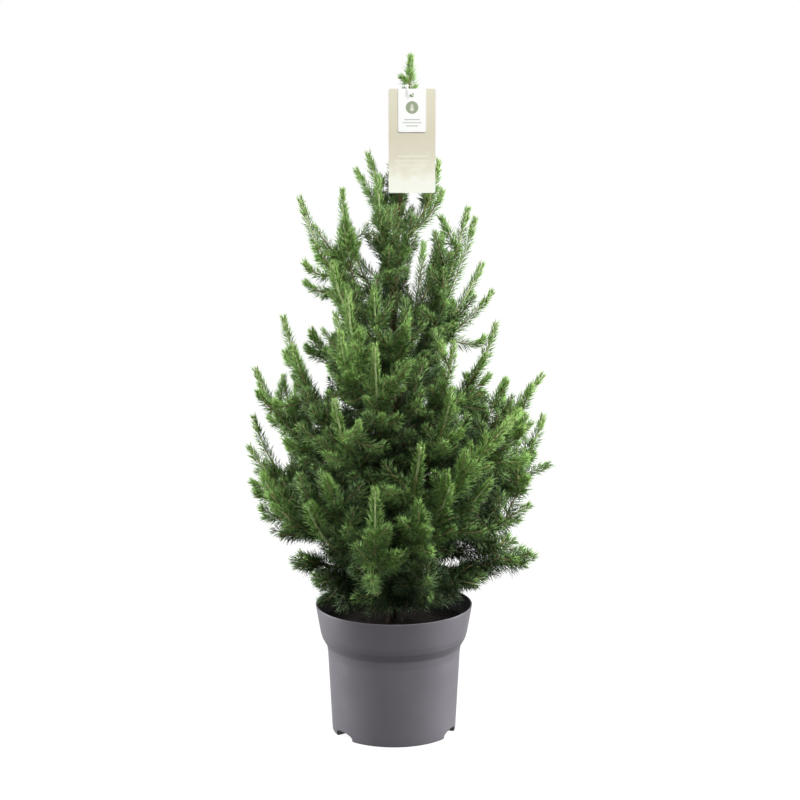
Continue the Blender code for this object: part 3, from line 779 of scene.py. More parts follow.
def trunk_tube():
    """The trunk from the compost to the leader, with rings closer together near its foot."""
    shares = (np.arange(TRUNK_RINGS + 1) / TRUNK_RINGS) ** TRUNK_RING_POWER
    heights = TRUNK_FOOT + (TRUNK_TIP - TRUNK_FOOT) * shares
    points = np.array([trunk_centre(height) for height in heights])
    east = np.repeat([[1.0, 0.0, 0.0]], len(points), 0)
    north = np.repeat([[0.0, 1.0, 0.0]], len(points), 0)
    radii = np.empty((len(points), TRUNK_SIDES))
    for r, height in enumerate(heights):
        lobes = ROOT_LOBE_DEPTH * math.exp((TRUNK_FOOT - height) / ROOT_LOBE_HEIGHT)
        radius = trunk_radius(height)
        for k in range(TRUNK_SIDES):
            angle = math.tau * k / TRUNK_SIDES
            x, y = math.cos(angle) * radius, math.sin(angle) * radius
            rise = bark_relief(x, y, height, SCALE_DEPTH * min(1.0, radius / THICK_BARK))
            radii[r, k] = radius * (1 + lobes * math.cos(ROOT_LOBES * angle)) + rise
    return tube(points, east, north, radii, TRUNK_SIDES)


def bough_tube(corners):
    """A bough's wood up to the needles, with the pegs that fallen ones have left."""
    shares = np.linspace(0, BOUGH_SHARE, BOUGH_RINGS + 1)
    points, _, side, other = frames(corners, shares)
    slimmer = (shares / BOUGH_SHARE) ** BOUGH_TAPER_POWER
    taper = BOUGH_FOOT_RADIUS + (BOUGH_TIP_RADIUS - BOUGH_FOOT_RADIUS) * slimmer
    radii = np.empty((BOUGH_RINGS + 1, BOUGH_SIDES))
    for r in range(BOUGH_RINGS + 1):
        for k in range(BOUGH_SIDES):
            angle = math.tau * k / BOUGH_SIDES
            spot = points[r] + (side[r] * math.cos(angle) + other[r] * math.sin(angle)) * taper[r]
            radii[r, k] = taper[r] + PEG_DEPTH * noise.noise(Vector(spot) / PEG_SIZE)
    return tube(points, side, other, radii, BOUGH_SIDES)


print("points in the trunk's surface:", TRUNK_SIDES * (TRUNK_RINGS + 1))

# %% [markdown]
# ## Where the leading shoots end
# Each line below is one limb: where it leaves the trunk, whether it starts as a bare bough, and
# the tips it carries. A tip is a bearing round the trunk from the front, a reach from the axis, a
# height and a slope. These are the places where the tree's outline is pinned. Everything between
# them follows from a rule. The further tips at the end fill out the outline: they are too close
# together for the solid model, which holds only the larger masses of needles.

# %% Leading shoots of the crown
# (mass, foot in mm, on a bough, tips of (bearing in degrees, reach in mm, height in mm, slope))
CROWN = (
    ("top_left", 606, False, ((-133, 44, 703, 66), (-123, 55, 684, 62))),
    ("top_right", 590, False, ((111, 57, 695, 84), (100, 60, 660, 70))),
    ("top_back", 612, False, ((176, 56, 680, 74), (165, 34, 738, 84))),
    ("upper_front", 532, False, ((-27, 41, 683, 86), (40, 22, 612, 88))),
    ("upper_left", 474, False, ((-90, 111, 653, 74), (-71, 63, 665, 90))),
    ("upper_right", 402, False, ((71, 92, 644, 76), (79, 98, 631, 74))),
    ("upper_right_back", 470, False, ((130, 78, 607, 76), (158, 98, 590, 70))),
    ("upper_back_left", 478, False, ((-172, 92, 622, 74), (-141, 94, 632, 84))),
    ("mid_front_left", 440, False, ((-45, 100, 585, 78),)),
    ("mid_front", 412, False, ((-17, 78, 554, 86), (11, 90, 522, 72))),
    ("mid_right_outer", 436, False, ((104, 110, 572, 66), (92, 119, 541, 54))),
    ("mid_left_outer", 322, True, ((-81, 132, 516, 80), (-68, 126, 484, 78))),
    ("mid_right", 346, True, ((74, 125, 510, 78), (64, 122, 474, 50))),
    ("mid_front_right", 366, False, ((32, 130, 499, 84),)),
    ("mid_back", 396, False, ((182, 120, 530, 72), (150, 134, 506, 68))),
    ("mid_back_left", 376, False, ((-148, 138, 500, 72), (-121, 117, 486, 62))),
    ("front_left_high", 386, False, ((-27, 114, 555, 88), (-27, 132, 512, 88))),
    ("front_high", 316, False, ((-10, 123, 498, 86),)),
    ("front_left", 296, True, ((-27, 147, 436, 78),)),
    ("front_right", 290, True, ((27, 147, 450, 74),)),
    ("left_high", 300, True, ((-90, 166, 450, 72), (-108, 150, 412, 60))),
    ("left_mid", 246, True, ((-90, 175, 355, 62), (-103, 175, 384, 74))),
    ("left_low", 212, False, ((-100, 175, 295, 28), (-86, 160, 268, 6))),
    ("right_high", 302, True, ((99, 184, 437, 52), (104, 140, 432, 64))),
    ("right_front_high", 278, True, ((58, 172, 411, 48), (63, 182, 401, 50))),
    ("right_mid", 248, True, ((100, 184, 387, 78), (90, 190, 331, 22))),
    ("right_low", 214, False, ((86, 166, 284, 32), (76, 152, 246, 18))),
    ("front_mid", 250, True, ((11, 163, 389, 66), (-7, 168, 340, 80))),
    ("front_low_right", 218, False, ((24, 160, 339, 58), (46, 157, 336, 52), (12, 150, 290, 36))),
    ("front_low_left", 206, False, ((-40, 155, 309, 66), (-31, 148, 346, 66), (-64, 160, 298, 40))),
    ("back_high_left", 298, True, ((-160, 166, 432, 68),)),
    ("back_high_right", 284, True, ((158, 168, 418, 66),)),
    ("back_mid", 240, True, ((178, 178, 366, 60), (-168, 162, 300, 34))),
    ("back_mid_left", 232, False, ((-132, 174, 338, 50), (-146, 160, 266, 28))),
    ("back_mid_right", 224, False, ((128, 176, 322, 46), (150, 162, 262, 26))),
    ("skirt_left", 192, False, ((-81, 127, 218, 12), (-52, 118, 200, -2))),
    ("skirt_right", 188, False, ((90, 174, 218, 16), (54, 124, 200, 2))),
    ("skirt_front", 182, False, ((22, 114, 192, -6), (-16, 108, 190, -8))),
    ("skirt_back_left", 184, False, ((-122, 118, 178, -2), (-158, 124, 196, 4))),
    ("skirt_back_right", 186, False, ((146, 150, 218, 12),)),
)
LEADER_TIPS = ((90, 20, 818, 88), (48, 11, 792, 84))
# (height, reach) in mm that no twig passes
CROWN_OUTLINE = (
    (150, 105), (200, 140), (230, 168), (330, 182), (440, 178), (470, 134), (560, 122), (650, 112),
    (700, 62), (818, 30),
)
# an open ring round the trunk: its lowest and highest height, inner and outer reach, in mm
OPEN_RING = (548, 604, 24, 46)
# further tips (bearing in degrees, reach in mm, height in mm, slope)
MORE_TIPS = (
    (-77, 122, 212, 8), (-86, 116, 222, 26), (-88, 112, 205, 2), (-70, 112, 224, 30),
    (-94, 104, 212, 12), (-64, 108, 203, 4), (82, 166, 227, 26), (84, 160, 210, 8),
    (76, 152, 222, 24), (94, 158, 224, 22), (34, 140, 398, 74), (-53, 104, 398, 72),
    (-60, 96, 380, 66), (40, 150, 352, 66), (61, 176, 408, 58), (63, 164, 412, 62),
    (57, 178, 397, 50), (55, 163, 407, 62), (-38, 153, 311, 50), (22, 162, 356, 60),
    (3, 158, 301, 40), (28, 113, 497, 80), (-64, 44, 602, 60), (-58, 56, 618, 74),
    (-76, 108, 580, 70), (-80, 106, 556, 66), (30, 34, 596, 62), (62, 60, 634, 66),
    (-88, 172, 312, 52), (-92, 168, 296, 46), (92, 154, 392, 66), (-108, 112, 472, 78),
    (-101, 101, 493, 80), (-125, 88, 482, 76), (-90, 130, 469, 78), (-103, 136, 434, 74),
    (-105, 157, 384, 70), (-90, 162, 279, 40), (-77, 138, 252, 24), (-73, 100, 192, 0),
    (103, 87, 439, 74), (75, 117, 447, 76), (98, 138, 430, 70), (109, 150, 398, 66),
    (90, 108, 487, 78), (83, 158, 310, 46), (90, 153, 264, 24), (78, 97, 186, 0),
    (-14, 158, 415, 76), (31, 160, 377, 66), (-29, 161, 350, 64), (10, 162, 324, 56),
    (14, 158, 289, 44), (16, 154, 261, 30), (2, 153, 260, 30), (16, 140, 222, 10),
    (-23, 118, 193, -4),
)

print("limbs:", len(CROWN), "further tips:", len(MORE_TIPS))

# %% [markdown]
# ## Rules of growth
# A twig must keep to the crown: inside its outline, above the pot, clear of the hang cards and out
# of the gaps where daylight shows through the tree. The first twigs are the ones that the solid
# model has too, with the same seed and the same tests, so the visible needles stand where the
# solid ones do.

# %% Room in the crown
CROWN_FOOT = 0.163
BOUGH_SHARE = 0.34
STEM_RADIUS, BOUGH_STEM_RADIUS, TWIG_RADIUS = 0.0017, 0.0019, 0.0011
NEEDLE_GROWTH = 1.22
SPRAY_REACH = 0.0100
TWIG_SPACING = 0.082
TWIG_SHORTEST, TWIG_LONGEST = 0.034, 0.075
TWIG_TRIES, TWIG_LONG_TRIES, TWIG_SHORTER = 16, 8, 0.7
TWIG_ROOM_SHARE, TWIG_ROOM = 0.8, 0.010
GOLDEN_TURN = math.radians(137.5)
SPACE_STEP = 0.004
TWIN_START, TWIN_BARE, TWIG_BARE = 0.22, 0.16, 0.12
TRUNK_STEM_BARE, BOUGH_STEM_BARE, LEADER_BARE = 0.26, 0.08, 0.20
LEADER_SIDE_START, LEADER_STEM_RADIUS, LEADER_SIDE_RADIUS = 0.15, 0.0010, 0.0008
CARD_CENTRE_X, CARD_Y = 0.0213, -0.0150
CARD_WIDTH, CARD_HEIGHT, CARD_TOP = 0.0545, 0.1205, 0.7776
CARD_ROOM, CARD_DEPTH = 0.010, 0.012
TWIG_SEED = 41

Shoot = namedtuple("Shoot", "mass corners bare stem")


def needle_share(t, bare):
    """How long needles are at t against the middle ones: longest low on the shoot."""
    leafy = min(max((t - bare) / (1 - bare), 0.0), 1.0)
    return NEEDLE_GROWTH + (1 / NEEDLE_GROWTH - NEEDLE_GROWTH) * leafy


def samples(corners, bare, radius, end=1.0):
    """Points along a shoot, each with the radius of its wood or its needles."""
    count = max(6, int(curve_length(corners) * end / SPACE_STEP))
    found = []
    for k in range(count + 1):
        t = end * k / count
        width = radius if t <= bare else SPRAY_REACH * needle_share(t, bare)
        found.append((tuple(curve_point(corners, t)), width))
    return found


def take_room(space, owner, corners, bare, radius, end=1.0):
    """Adds a shoot to the room that is taken."""
    space += [(point, width, owner) for point, width in samples(corners, bare, radius, end)]


def has_room(space, owner, corners, bare, radius):
    """Whether a shoot would stay clear of every other mass and limb."""
    others = [(point, width) for point, width, name in space if name != owner]
    places = np.array([point for point, _ in others])
    widths = np.array([width for _, width in others])
    for point, width in samples(corners, bare, radius):
        if (np.linalg.norm(places - np.array(point), axis=1) < widths + width + GAP).any():
            return False
    return True


def crown_reach(height):
    """How far from the trunk's axis twigs may reach at a height."""
    heights, reaches = zip(*CROWN_OUTLINE)
    return float(np.interp(height * 1000, heights, reaches)) / 1000


def near_card(point):
    """Whether a place is too near the hang cards for a first twig."""
    return point.z > CARD_TOP - CARD_HEIGHT - CARD_ROOM and point.y < CARD_DEPTH


def in_its_space(corners):
    """Whether a twig stays inside the crown's outline, above the pot and out of the open ring."""
    low, high, inner, outer = OPEN_RING
    for k in range(1, 7):
        point = curve_point(corners, k / 6)
        reach = math.hypot(point.x, point.y)
        if point.z < CROWN_FOOT + SPRAY_REACH or reach > crown_reach(point.z):
            return False
        from_trunk = (point - trunk_centre(point.z)).length * 1000
        if near_card(point) or (low < point.z * 1000 < high and inner < from_trunk < outer):
            return False
    return True


print("widest crown:", 2 * max(reach for _, reach in CROWN_OUTLINE), "mm")

# %% [markdown]
# ## Planning the limbs
# Each limb leaves the trunk at its own height and turns up to its first tip; its other tips are
# carried by twins that fork off it. Twigs then come in a spiral of 137.5 degrees, the angle at which
# a spruce sets its buds, and one that finds no room tries the next turn. A real tree settles this by
# light; here a list of taken room does the same work.

# %% Plan the leading shoots and their first twigs
def plan_leader():
    """The two upright shoots at the top of the trunk."""
    start = trunk_centre(TRUNK_TIP) + UP * GAP
    curves = []
    for tip in LEADER_TIPS:
        end = tip_point(tip)
        middle = Vector((start.lerp(end, 0.2).x, end.y / 2, start.lerp(end, 0.5).z))
        curves.append((start, middle, end))
    main, beside = curves
    beside = (curve_point(main, LEADER_SIDE_START), *beside[1:])
    return [
        Shoot("leader", main, LEADER_BARE, LEADER_STEM_RADIUS),
        Shoot("leader", beside, LEADER_BARE, LEADER_SIDE_RADIUS),
    ]


def plan_crown():
    """The leading shoots, the limbs with their boughs, and the room they take."""
    space, leaders, boughs = [], [], []
    for name, foot, on_bough, tips in CROWN:
        limb = leader = limb_curve(foot / 1000, tips[0])
        stem, bare = STEM_RADIUS, TRUNK_STEM_BARE
        if on_bough:
            boughs.append(limb)
            take_room(space, "bough_" + name, limb, 1.0, BOUGH_FOOT_RADIUS, BOUGH_SHARE)
            leader = cut_curve(limb, BOUGH_SHARE + 1.5 * GAP / curve_length(limb))
            stem, bare = BOUGH_STEM_RADIUS, BOUGH_STEM_BARE
        leaders.append(Shoot(name, leader, bare, stem))
        for tip in tips[1:]:
            twin = rising_curve(curve_point(leader, TWIN_START), tip)
            leaders.append(Shoot(name, twin, TWIN_BARE, TWIG_RADIUS))
    leaders += plan_leader()
    for name, corners, bare, stem in leaders:
        take_room(space, name, corners, bare, stem)
    return leaders, boughs, space


def first_twigs(leaders, space):
    """Twigs on each leading shoot, turned by the golden angle, kept where there is room."""
    dice = random.Random(TWIG_SEED)
    twigs = []
    for name, leader, bare, _ in leaders:
        length = curve_length(leader)
        count = int(length * (1 - bare) / TWIG_SPACING)
        turn = dice.uniform(0, math.tau)
        for number in range(count):
            place = bare + (1 - bare) * (number + 0.4) / (count + 0.6)
            room = (1 - place) * length * TWIG_ROOM_SHARE + TWIG_ROOM
            reach = min(max(room, TWIG_SHORTEST), TWIG_LONGEST)
            for attempt in range(TWIG_TRIES):
                turn += GOLDEN_TURN
                shorter = 1.0 if attempt < TWIG_LONG_TRIES else TWIG_SHORTER
                trial = side_curve(leader, place, turn, reach * shorter)
                if in_its_space(trial) and has_room(space, name, trial, TWIG_BARE, TWIG_RADIUS):
                    twigs.append(Shoot(name, trial, TWIG_BARE, TWIG_RADIUS))
                    take_room(space, name, trial, TWIG_BARE, TWIG_RADIUS)
                    break
    return twigs


leaders, boughs, space = plan_crown()
twigs = first_twigs(leaders, space)
print("leading shoots:", len(leaders), "first twigs:", len(twigs), "boughs:", len(boughs))

# %% [markdown]
# ## Daylight through the crown
# A young spruce isn't a solid cone: between its upper limbs, and in small chinks lower down, the
# light comes through. Each gap is an ellipse on the upright plane through the trunk. A shoot or a
# needle that would close one, seen from the front, is left off. The same test keeps some leading
# brushes in front clear, so that each is seen against the shade behind it.

# %% Gaps that stay open
# (x and z of the centre, half width, half height), all in mm
DAYLIGHT = (
    (-85, 694, 21, 30), (-81, 626, 11, 33), (-41, 634, 6, 19), (-37, 572, 13, 19), (32, 578, 7, 8),
    (29, 555, 6, 28), (38, 617, 7, 11), (61, 632, 11, 22), (77, 613, 6, 8), (91, 579, 9, 18),
    (78, 548, 8, 11), (87, 522, 8, 11), (103, 528, 8, 7), (-114, 556, 18, 40), (-80, 504, 12, 18),
    (-108, 488, 11, 17), (88, 491, 9, 7), (83, 461, 18, 16), (84, 442, 13, 14), (126, 450, 11, 17),
    (-144, 450, 18, 13), (-91, 444, 7, 24), (-138, 425, 10, 11), (118, 432, 10, 11),
    (143, 419, 7, 10), (-157, 389, 4, 10), (164, 389, 5, 11), (120, 383, 4, 5), (-147, 365, 5, 11),
    (-161, 348, 6, 10), (-136, 341, 7, 10), (143, 274, 10, 6), (-161, 250, 17, 19),
    (-135, 229, 22, 11), (-109, 224, 12, 7), (-109, 185, 13, 6), (-82, 238, 4, 5),
    (-86, 208, 5, 6), (-72, 195, 5, 5), (84, 233, 5, 5), (74, 209, 6, 4), (150, 227, 11, 6),
)


def inside(ellipses, points, room=0.0):
    """Which points, as an array, would stand in one of the ellipses when seen from the camera."""
    points = np.atleast_2d(points)
    eye = np.array(CAMERA_PLACE)
    nearer = (-eye[1] / (points[:, 1] - eye[1]))[:, None]
    on_plane = eye + (points - eye) * nearer
    blocked = np.zeros(len(points), bool)
    for x, z, wide, tall in ellipses:
        across_gap = (on_plane[:, 0] - x * MM) / (wide * MM + room)
        up_gap = (on_plane[:, 2] - z * MM) / (tall * MM + room)
        blocked |= across_gap**2 + up_gap**2 < 1
    return blocked


# leading brushes that nothing hides: an ellipse as above, how far back it clears in mm, and the mass
# whose own shoots may stand there
SPRAY = "right_front_spray"
BRUSHES = (
    ((29, 323, 15, 36), -105, ""), ((-25, 276, 14, 31), -105, ""), ((-67, 378, 10, 34), -105, ""),
    ((-21, 448, 9, 30), -95, ""), ((10, 474, 9, 24), -72, ""), ((63, 408, 10, 17), -105, ""),
    ((53, 380, 10, 17), -105, ""), ((-54, 503, 9, 28), -78, ""), ((50, 453, 9, 20), -80, ""),
    ((139, 383, 18, 18), -100, SPRAY), ((119, 367, 18, 18), -100, SPRAY),
    ((100, 352, 17, 17), -100, SPRAY), ((82, 337, 15, 15), -100, SPRAY),
)


def daylight(points, room=0.0):
    """Which points would stand in a gap, or within some room of one."""
    return inside(DAYLIGHT, points, room)


def before_brush(points, mass=""):
    """Which points of a mass would stand in front of another's leading brush or right behind it."""
    points = np.atleast_2d(points)
    hidden = np.zeros(len(points), bool)
    for ellipse, back, owner in BRUSHES:
        if owner != mass or not owner:
            hidden |= inside([ellipse], points) & (points[:, 1] < back * MM)
    return hidden


print("gaps:", len(DAYLIGHT), "clear brushes:", len(BRUSHES))

# %% [markdown]
# ## Finer shoots
# From here the growth is finer than in the solid model. Further leading shoots come first, and each leaves
# the limb that reaches its tip most naturally: the way there is short and turns little. Two brushes in
# front are listed one by one, because they stand out against the shade behind them.

# %% Further leading shoots
MORE_BARE = 0.14
BRANCH_BEND = 0.45
BRANCH_PLACES = np.linspace(0.12, 0.80, 15)
TURN_COST = 0.05
WIDEST_ANGLE, TRUNK_ANGLE = 58, 118
LOWEST_BRANCH, TOP_FREE = 0.008, 0.03
MORE_SHORTEST, MORE_LONGEST = 0.030, 0.300
Branching = namedtuple("Branching", "shoots owner starts ways limits")


def branching(shoots, trunk_places=0):
    """Where new shoots may start: along shoots, and along the trunk at wider angles."""
    owner, starts, ways, limits = [], [], [], []
    for number, shoot in enumerate(shoots):
        for place in BRANCH_PLACES:
            owner.append(number)
            starts.append(curve_point(shoot.corners, place))
            ways.append(curve_direction(shoot.corners, place))
            limits.append(WIDEST_ANGLE)
    for k in range(trunk_places):
        height = CROWN_FOOT + LOWEST_BRANCH + (TRUNK_TIP - CROWN_FOOT - TOP_FREE) * k / trunk_places
        owner.append(-1)
        starts.append(trunk_centre(height))
        ways.append(UP)
        limits.append(TRUNK_ANGLE)
    return Branching(shoots, owner, np.array(starts), np.array(ways), np.radians(limits))


def branch_to(tip, places, shortest, longest, bare=MORE_BARE, bend=BRANCH_BEND):
    """A shoot to a tip from the place that it grows from most naturally, or None."""
    away = np.array(tip_point(tip)) - places.starts
    length = np.linalg.norm(away, axis=1)
    turn = np.arccos(np.clip((away * places.ways).sum(1) / length, -1, 1))
    cost = length + TURN_COST * turn
    cost[(turn > places.limits) | (length < shortest) | (length > longest)] = np.inf
    best = int(np.argmin(cost))
    if not np.isfinite(cost[best]):
        return None
    number = places.owner[best]
    mass = places.shoots[number].mass if number >= 0 else "trunk"
    return Shoot(mass, rising_curve(Vector(places.starts[best]), tip, bend), bare, TWIG_RADIUS)


# (tip, the place near which it leaves a limb, its mass, the tip whose shoot it replaces)
FRONT_BRUSHES = (
    ((-7, 168, 340, 84), (-9, 125, 268), "skirt_front", (-7, 168, 340, 80)),
    ((51, 180, 411, 44), (26, 112, 322), SPRAY, (58, 172, 411, 48)),
)
FRONT_BEND = 0.46


def front_brush(row, leaders, twigs):
    """The leaders and twigs with a front brush in place of an older shoot and its twigs."""
    tip, foot, mass, replaced = row
    gone = Vector(tip_point(replaced))
    old = min(leaders, key=lambda shoot: (shoot.corners[2] - gone).length)
    path = [curve_point(old.corners, k / 60) for k in range(61)]
    twigs = [twig for twig in twigs if min((twig.corners[0] - spot).length for spot in path) > MM]
    leaders = [shoot for shoot in leaders if shoot is not old]
    foot = Vector(tip_point((*foot, 0)))
    limbs = [shoot for shoot in leaders if shoot.mass == mass] or leaders
    spots = [curve_point(shoot.corners, k / 40) for shoot in limbs for k in range(6, 34)]
    start = min(spots, key=lambda spot: (spot - foot).length)
    print(mass, "leaves its limb at", [round(value / MM) for value in start])
    brush = Shoot(mass, rising_curve(start, tip, FRONT_BEND), MORE_BARE, TWIG_RADIUS)
    return leaders + [brush], twigs


for row in FRONT_BRUSHES:
    leaders, twigs = front_brush(row, leaders, twigs)
places = branching(leaders, trunk_places=40)
leaders += [branch_to(tip, places, MORE_SHORTEST, MORE_LONGEST) for tip in MORE_TIPS]
print("leading shoots with the further ones:", len(leaders))

# %% [markdown]
# ## Side shoots
# Side shoots follow every centimetre or so, long near a shoot's foot and short near its tip, so that
# each shoot ends in a slim brush. One that would leave the crown, cross a card or close a gap tries
# the next turn of the spiral, a little shorter.

# %% Side shoots along the leading shoots
# lengths in metres, angles in degrees
GROWTH_SEED = 7
NEEDLE_ROOM = 0.0065
SKIRT_FOOT = 0.152
EDGE_ROOM = 0.003
RIM_ABOVE, RIM_INSIDE = 0.004, 0.010
CARD_ABOVE, CARD_BESIDE, CARD_BEHIND = 0.002, 0.008, 0.009
Growth = namedtuple("Growth", "spacing clear share extra shortest longest angle lift")
SIDE = Growth(0.0095, 0.042, 0.46, 0.008, 0.016, 0.055, 38, 0.28)
LESSER = Growth(0.0130, 0.022, 0.42, 0.004, 0.014, 0.028, 44, 0.18)
FINE = Growth(0.0120, 0.016, 0.42, 0.003, 0.012, 0.022, 44, 0.15)
AT_TRUNK = Growth(0.0045, 0.004, 0.0, 0.016, 0.013, 0.018, 48, 0.60)
TOP = Growth(0.0050, 0.022, 0.34, 0.003, 0.006, 0.010, 30, 0.50)
SIDE_BARE, FINE_BARE = 0.08, 0.05
SIDE_STEM, FINE_STEM = 0.0008, 0.0006
SIDE_TRIES, TRY_SHORTER = 5, 0.12
FIRST_SHARE, FIRST_STEP, STEP_CHANCE = 0.6, (0.2, 1.0), (0.8, 1.2)
LENGTH_CHANCE, ANGLE_CHANCE = (0.75, 1.15), (-6, 6)
LONG_SIDE = 0.030
MOST_HIDDEN = 0.4


def at_card(point):
    """Whether a place is in front of, in or just behind the hang cards."""
    low, high = CARD_TOP - CARD_HEIGHT - CARD_ROOM, CARD_TOP + CARD_ABOVE
    beside = abs(point.x - CARD_CENTRE_X) > CARD_WIDTH / 2 + CARD_BESIDE
    return low < point.z < high and point.y < CARD_Y + CARD_BEHIND and not beside


def fits(corners, mass=""):
    """Whether a fine shoot keeps to the crown, off the cards and out of the daylight."""
    spots = [curve_point(corners, k / 7) for k in range(1, 8)]
    for spot in spots:
        reach = math.hypot(spot.x, spot.y)
        if spot.z < SKIRT_FOOT or at_card(spot) or reach > crown_reach(spot.z) - EDGE_ROOM:
            return False
        if spot.z < POT_HEIGHT + RIM_ABOVE and reach > POT_RIM - RIM_INSIDE:
            return False
    spots = np.array(spots)
    return not (daylight(spots, NEEDLE_ROOM) | before_brush(spots, mass)).any()


def side_growth(parents, rule, bare, stem, dice):
    """Shoots along each parent, turned by the golden angle, shorter towards its tip."""
    grown = []
    for mass, corners, parent_bare, _ in parents:
        length = curve_length(corners)
        turn = dice.uniform(0, math.tau)
        travelled = length * parent_bare * FIRST_SHARE + rule.spacing * dice.uniform(*FIRST_STEP)
        while travelled < length - rule.clear:
            left = length - travelled
            reach = rule.share * (left - rule.clear * 0.5) + rule.extra
            reach = min(max(reach, rule.shortest), rule.longest) * dice.uniform(*LENGTH_CHANCE)
            angle = math.radians(rule.angle + dice.uniform(*ANGLE_CHANCE))
            for attempt in range(SIDE_TRIES):
                turn += GOLDEN_TURN
                size = reach * (1 - TRY_SHORTER * attempt)
                trial = side_curve(corners, travelled / length, turn, size, angle, rule.lift)
                if fits(trial, mass):
                    grown.append(Shoot(mass, trial, bare, stem))
                    break
            travelled += rule.spacing * dice.uniform(*STEP_CHANCE)
    return grown


def mostly_clear(shoot):
    """Whether most of a first twig keeps out of the gaps."""
    spots = np.array([curve_point(shoot.corners, k / 8) for k in range(9)])
    return (daylight(spots) | before_brush(spots)).mean() < MOST_HIDDEN


dice = random.Random(GROWTH_SEED)
twigs = [shoot for shoot in twigs if mostly_clear(shoot)]
top = [shoot for shoot in leaders if shoot.mass == "leader"]
side_shoots = side_growth(leaders + twigs, SIDE, SIDE_BARE, SIDE_STEM, dice)
side_shoots += side_growth(top, TOP, FINE_BARE, FINE_STEM, dice)
print("side shoots:", len(side_shoots))

# %% [markdown]
# ## Shoots where there is room
# A bud breaks where there is light and room. So places in the crown are tried at random: where no
# needles are near, a shoot grows there from a limb close by or from the trunk. A first round gives
# the lower crown more upright leading shoots at its outside, on its sides and behind. A second one
# fills the shade inside, low round the pot's rim too. The long side shoots then carry fine twigs.

# %% Fill the crown
# (height, reach) in mm of the crown that is filled
FILL_OUTLINE = (
    (150, 100), (200, 118), (230, 145), (280, 166), (330, 174), (430, 168), (470, 122), (560, 92),
    (640, 62), (700, 30),
)
Fill = namedtuple("Fill", "tries front low high shares rooms lengths slopes bare stem")
OUTER = Fill(1500, 65, 0.168, 0.455, (0.78, 0.98), (0.024, 0.024), (0.045, 0.130), (4, 78), 0.16, 0.0012)
SHADE = Fill(8000, 0, 0.158, 0.640, (0.05, 0.84), (0.0175, 0.0138), (0.022, 0.085), (-24, 76), 0.08, 0.0009)
STEEP_FROM, STEEP_AT = 0.165, 0.290
SLOPE_CHANCE = (-9, 5)
FILL_BEND = 0.28
TRUNK_TOP_HEIGHTS = (0.585, 0.690, TRUNK_TIP)


def shoot_points(shoots, step=0.006):
    """Points along the leafy part of shoots."""
    found = []
    for shoot in shoots:
        count = max(2, int(curve_length(shoot.corners) * (1 - shoot.bare) / step))
        shares = [shoot.bare + (1 - shoot.bare) * k / count for k in range(count + 1)]
        found += [tuple(curve_point(shoot.corners, share)) for share in shares]
    return found


def random_tip(rule, dice):
    """A tip at random inside the crown, with its share of the crown's reach."""
    heights, reaches = zip(*FILL_OUTLINE)
    height = dice.uniform(rule.low, rule.high)
    widest = float(np.interp(height * 1000, heights, reaches))
    low, high = rule.shares
    share = math.sqrt(dice.uniform(low**2, high**2))
    rise = min(1.0, max(0.0, (height - STEEP_FROM) / (STEEP_AT - STEEP_FROM)))
    slope = rule.slopes[0] + (rule.slopes[1] - rule.slopes[0]) * rise + dice.uniform(*SLOPE_CHANCE)
    chosen = dice.random() < widest / max(reaches)
    bearing = 180 + dice.uniform(-1, 1) * (180 - rule.front)
    return (bearing, share * widest, height * 1000, slope), share, chosen


def fill(rule, parents, near, dice):
    """New shoots to random tips that none of the near shoots' needles reach."""
    places = branching(parents, trunk_places=60)
    taken = np.array(shoot_points(near))
    grown = []
    for _ in range(rule.tries):
        tip, share, chosen = random_tip(rule, dice)
        room = rule.rooms[0] + (rule.rooms[1] - rule.rooms[0]) * share
        apart = np.linalg.norm(taken - np.array(tip_point(tip)), axis=1)
        if not chosen or (apart < room).any():
            continue
        shoot = branch_to(tip, places, *rule.lengths, rule.bare, FILL_BEND)
        if shoot is None or not fits(shoot.corners):
            continue
        shoot = shoot._replace(stem=rule.stem)
        grown.append(shoot)
        taken = np.concatenate([taken, shoot_points([shoot])])
    return grown


outer = fill(OUTER, leaders, leaders, dice)
side_shoots += side_growth(outer, SIDE, SIDE_BARE, SIDE_STEM, dice)
shade = fill(SHADE, leaders + twigs + outer, leaders + twigs + outer + side_shoots, dice)
lesser = side_growth(shade, LESSER, SIDE_BARE, FINE_STEM, dice)
long_sides = [shoot for shoot in side_shoots if curve_length(shoot.corners) > LONG_SIDE]
fine_shoots = side_growth(long_sides, FINE, FINE_BARE, FINE_STEM, dice)
trunk_top = tuple(trunk_centre(height) for height in TRUNK_TOP_HEIGHTS)
top_shoots = side_growth([Shoot("trunk", trunk_top, 0.0, 0.0)], AT_TRUNK, FINE_BARE, FINE_STEM, dice)
print("outer:", len(outer), "shade:", len(shade), "lesser:", len(lesser), "fine:", len(fine_shoots))

# %% [markdown]
# ## Wood of the twigs
# This year's shoots are pale green, last year's are tan, and what lies inside the crown has turned
# brown. Every shoot is a slim tapering tube that starts inside its parent, as a real twig does. The
# three ages are three finishes, because a young twig's skin is smooth and a little waxy while old
# wood is dull.

# %% Trunk, boughs and twigs as meshes
TIP_TAPER = 0.66
TIP_ROOM, TIP_ROOM_SHARE = 0.005, 0.12
ROOTED, BOUGH_ROOTED = 0.004, 0.005
STREAK_SIZE, STREAK_DEPTH = 1.8 * MM, 0.1 * MM
BROWN_END, TAN_END = 0.40, 0.64
LOW_BROWN_END, LOW_TAN_END = 0.60, 0.86
LOW_WOOD = 0.30


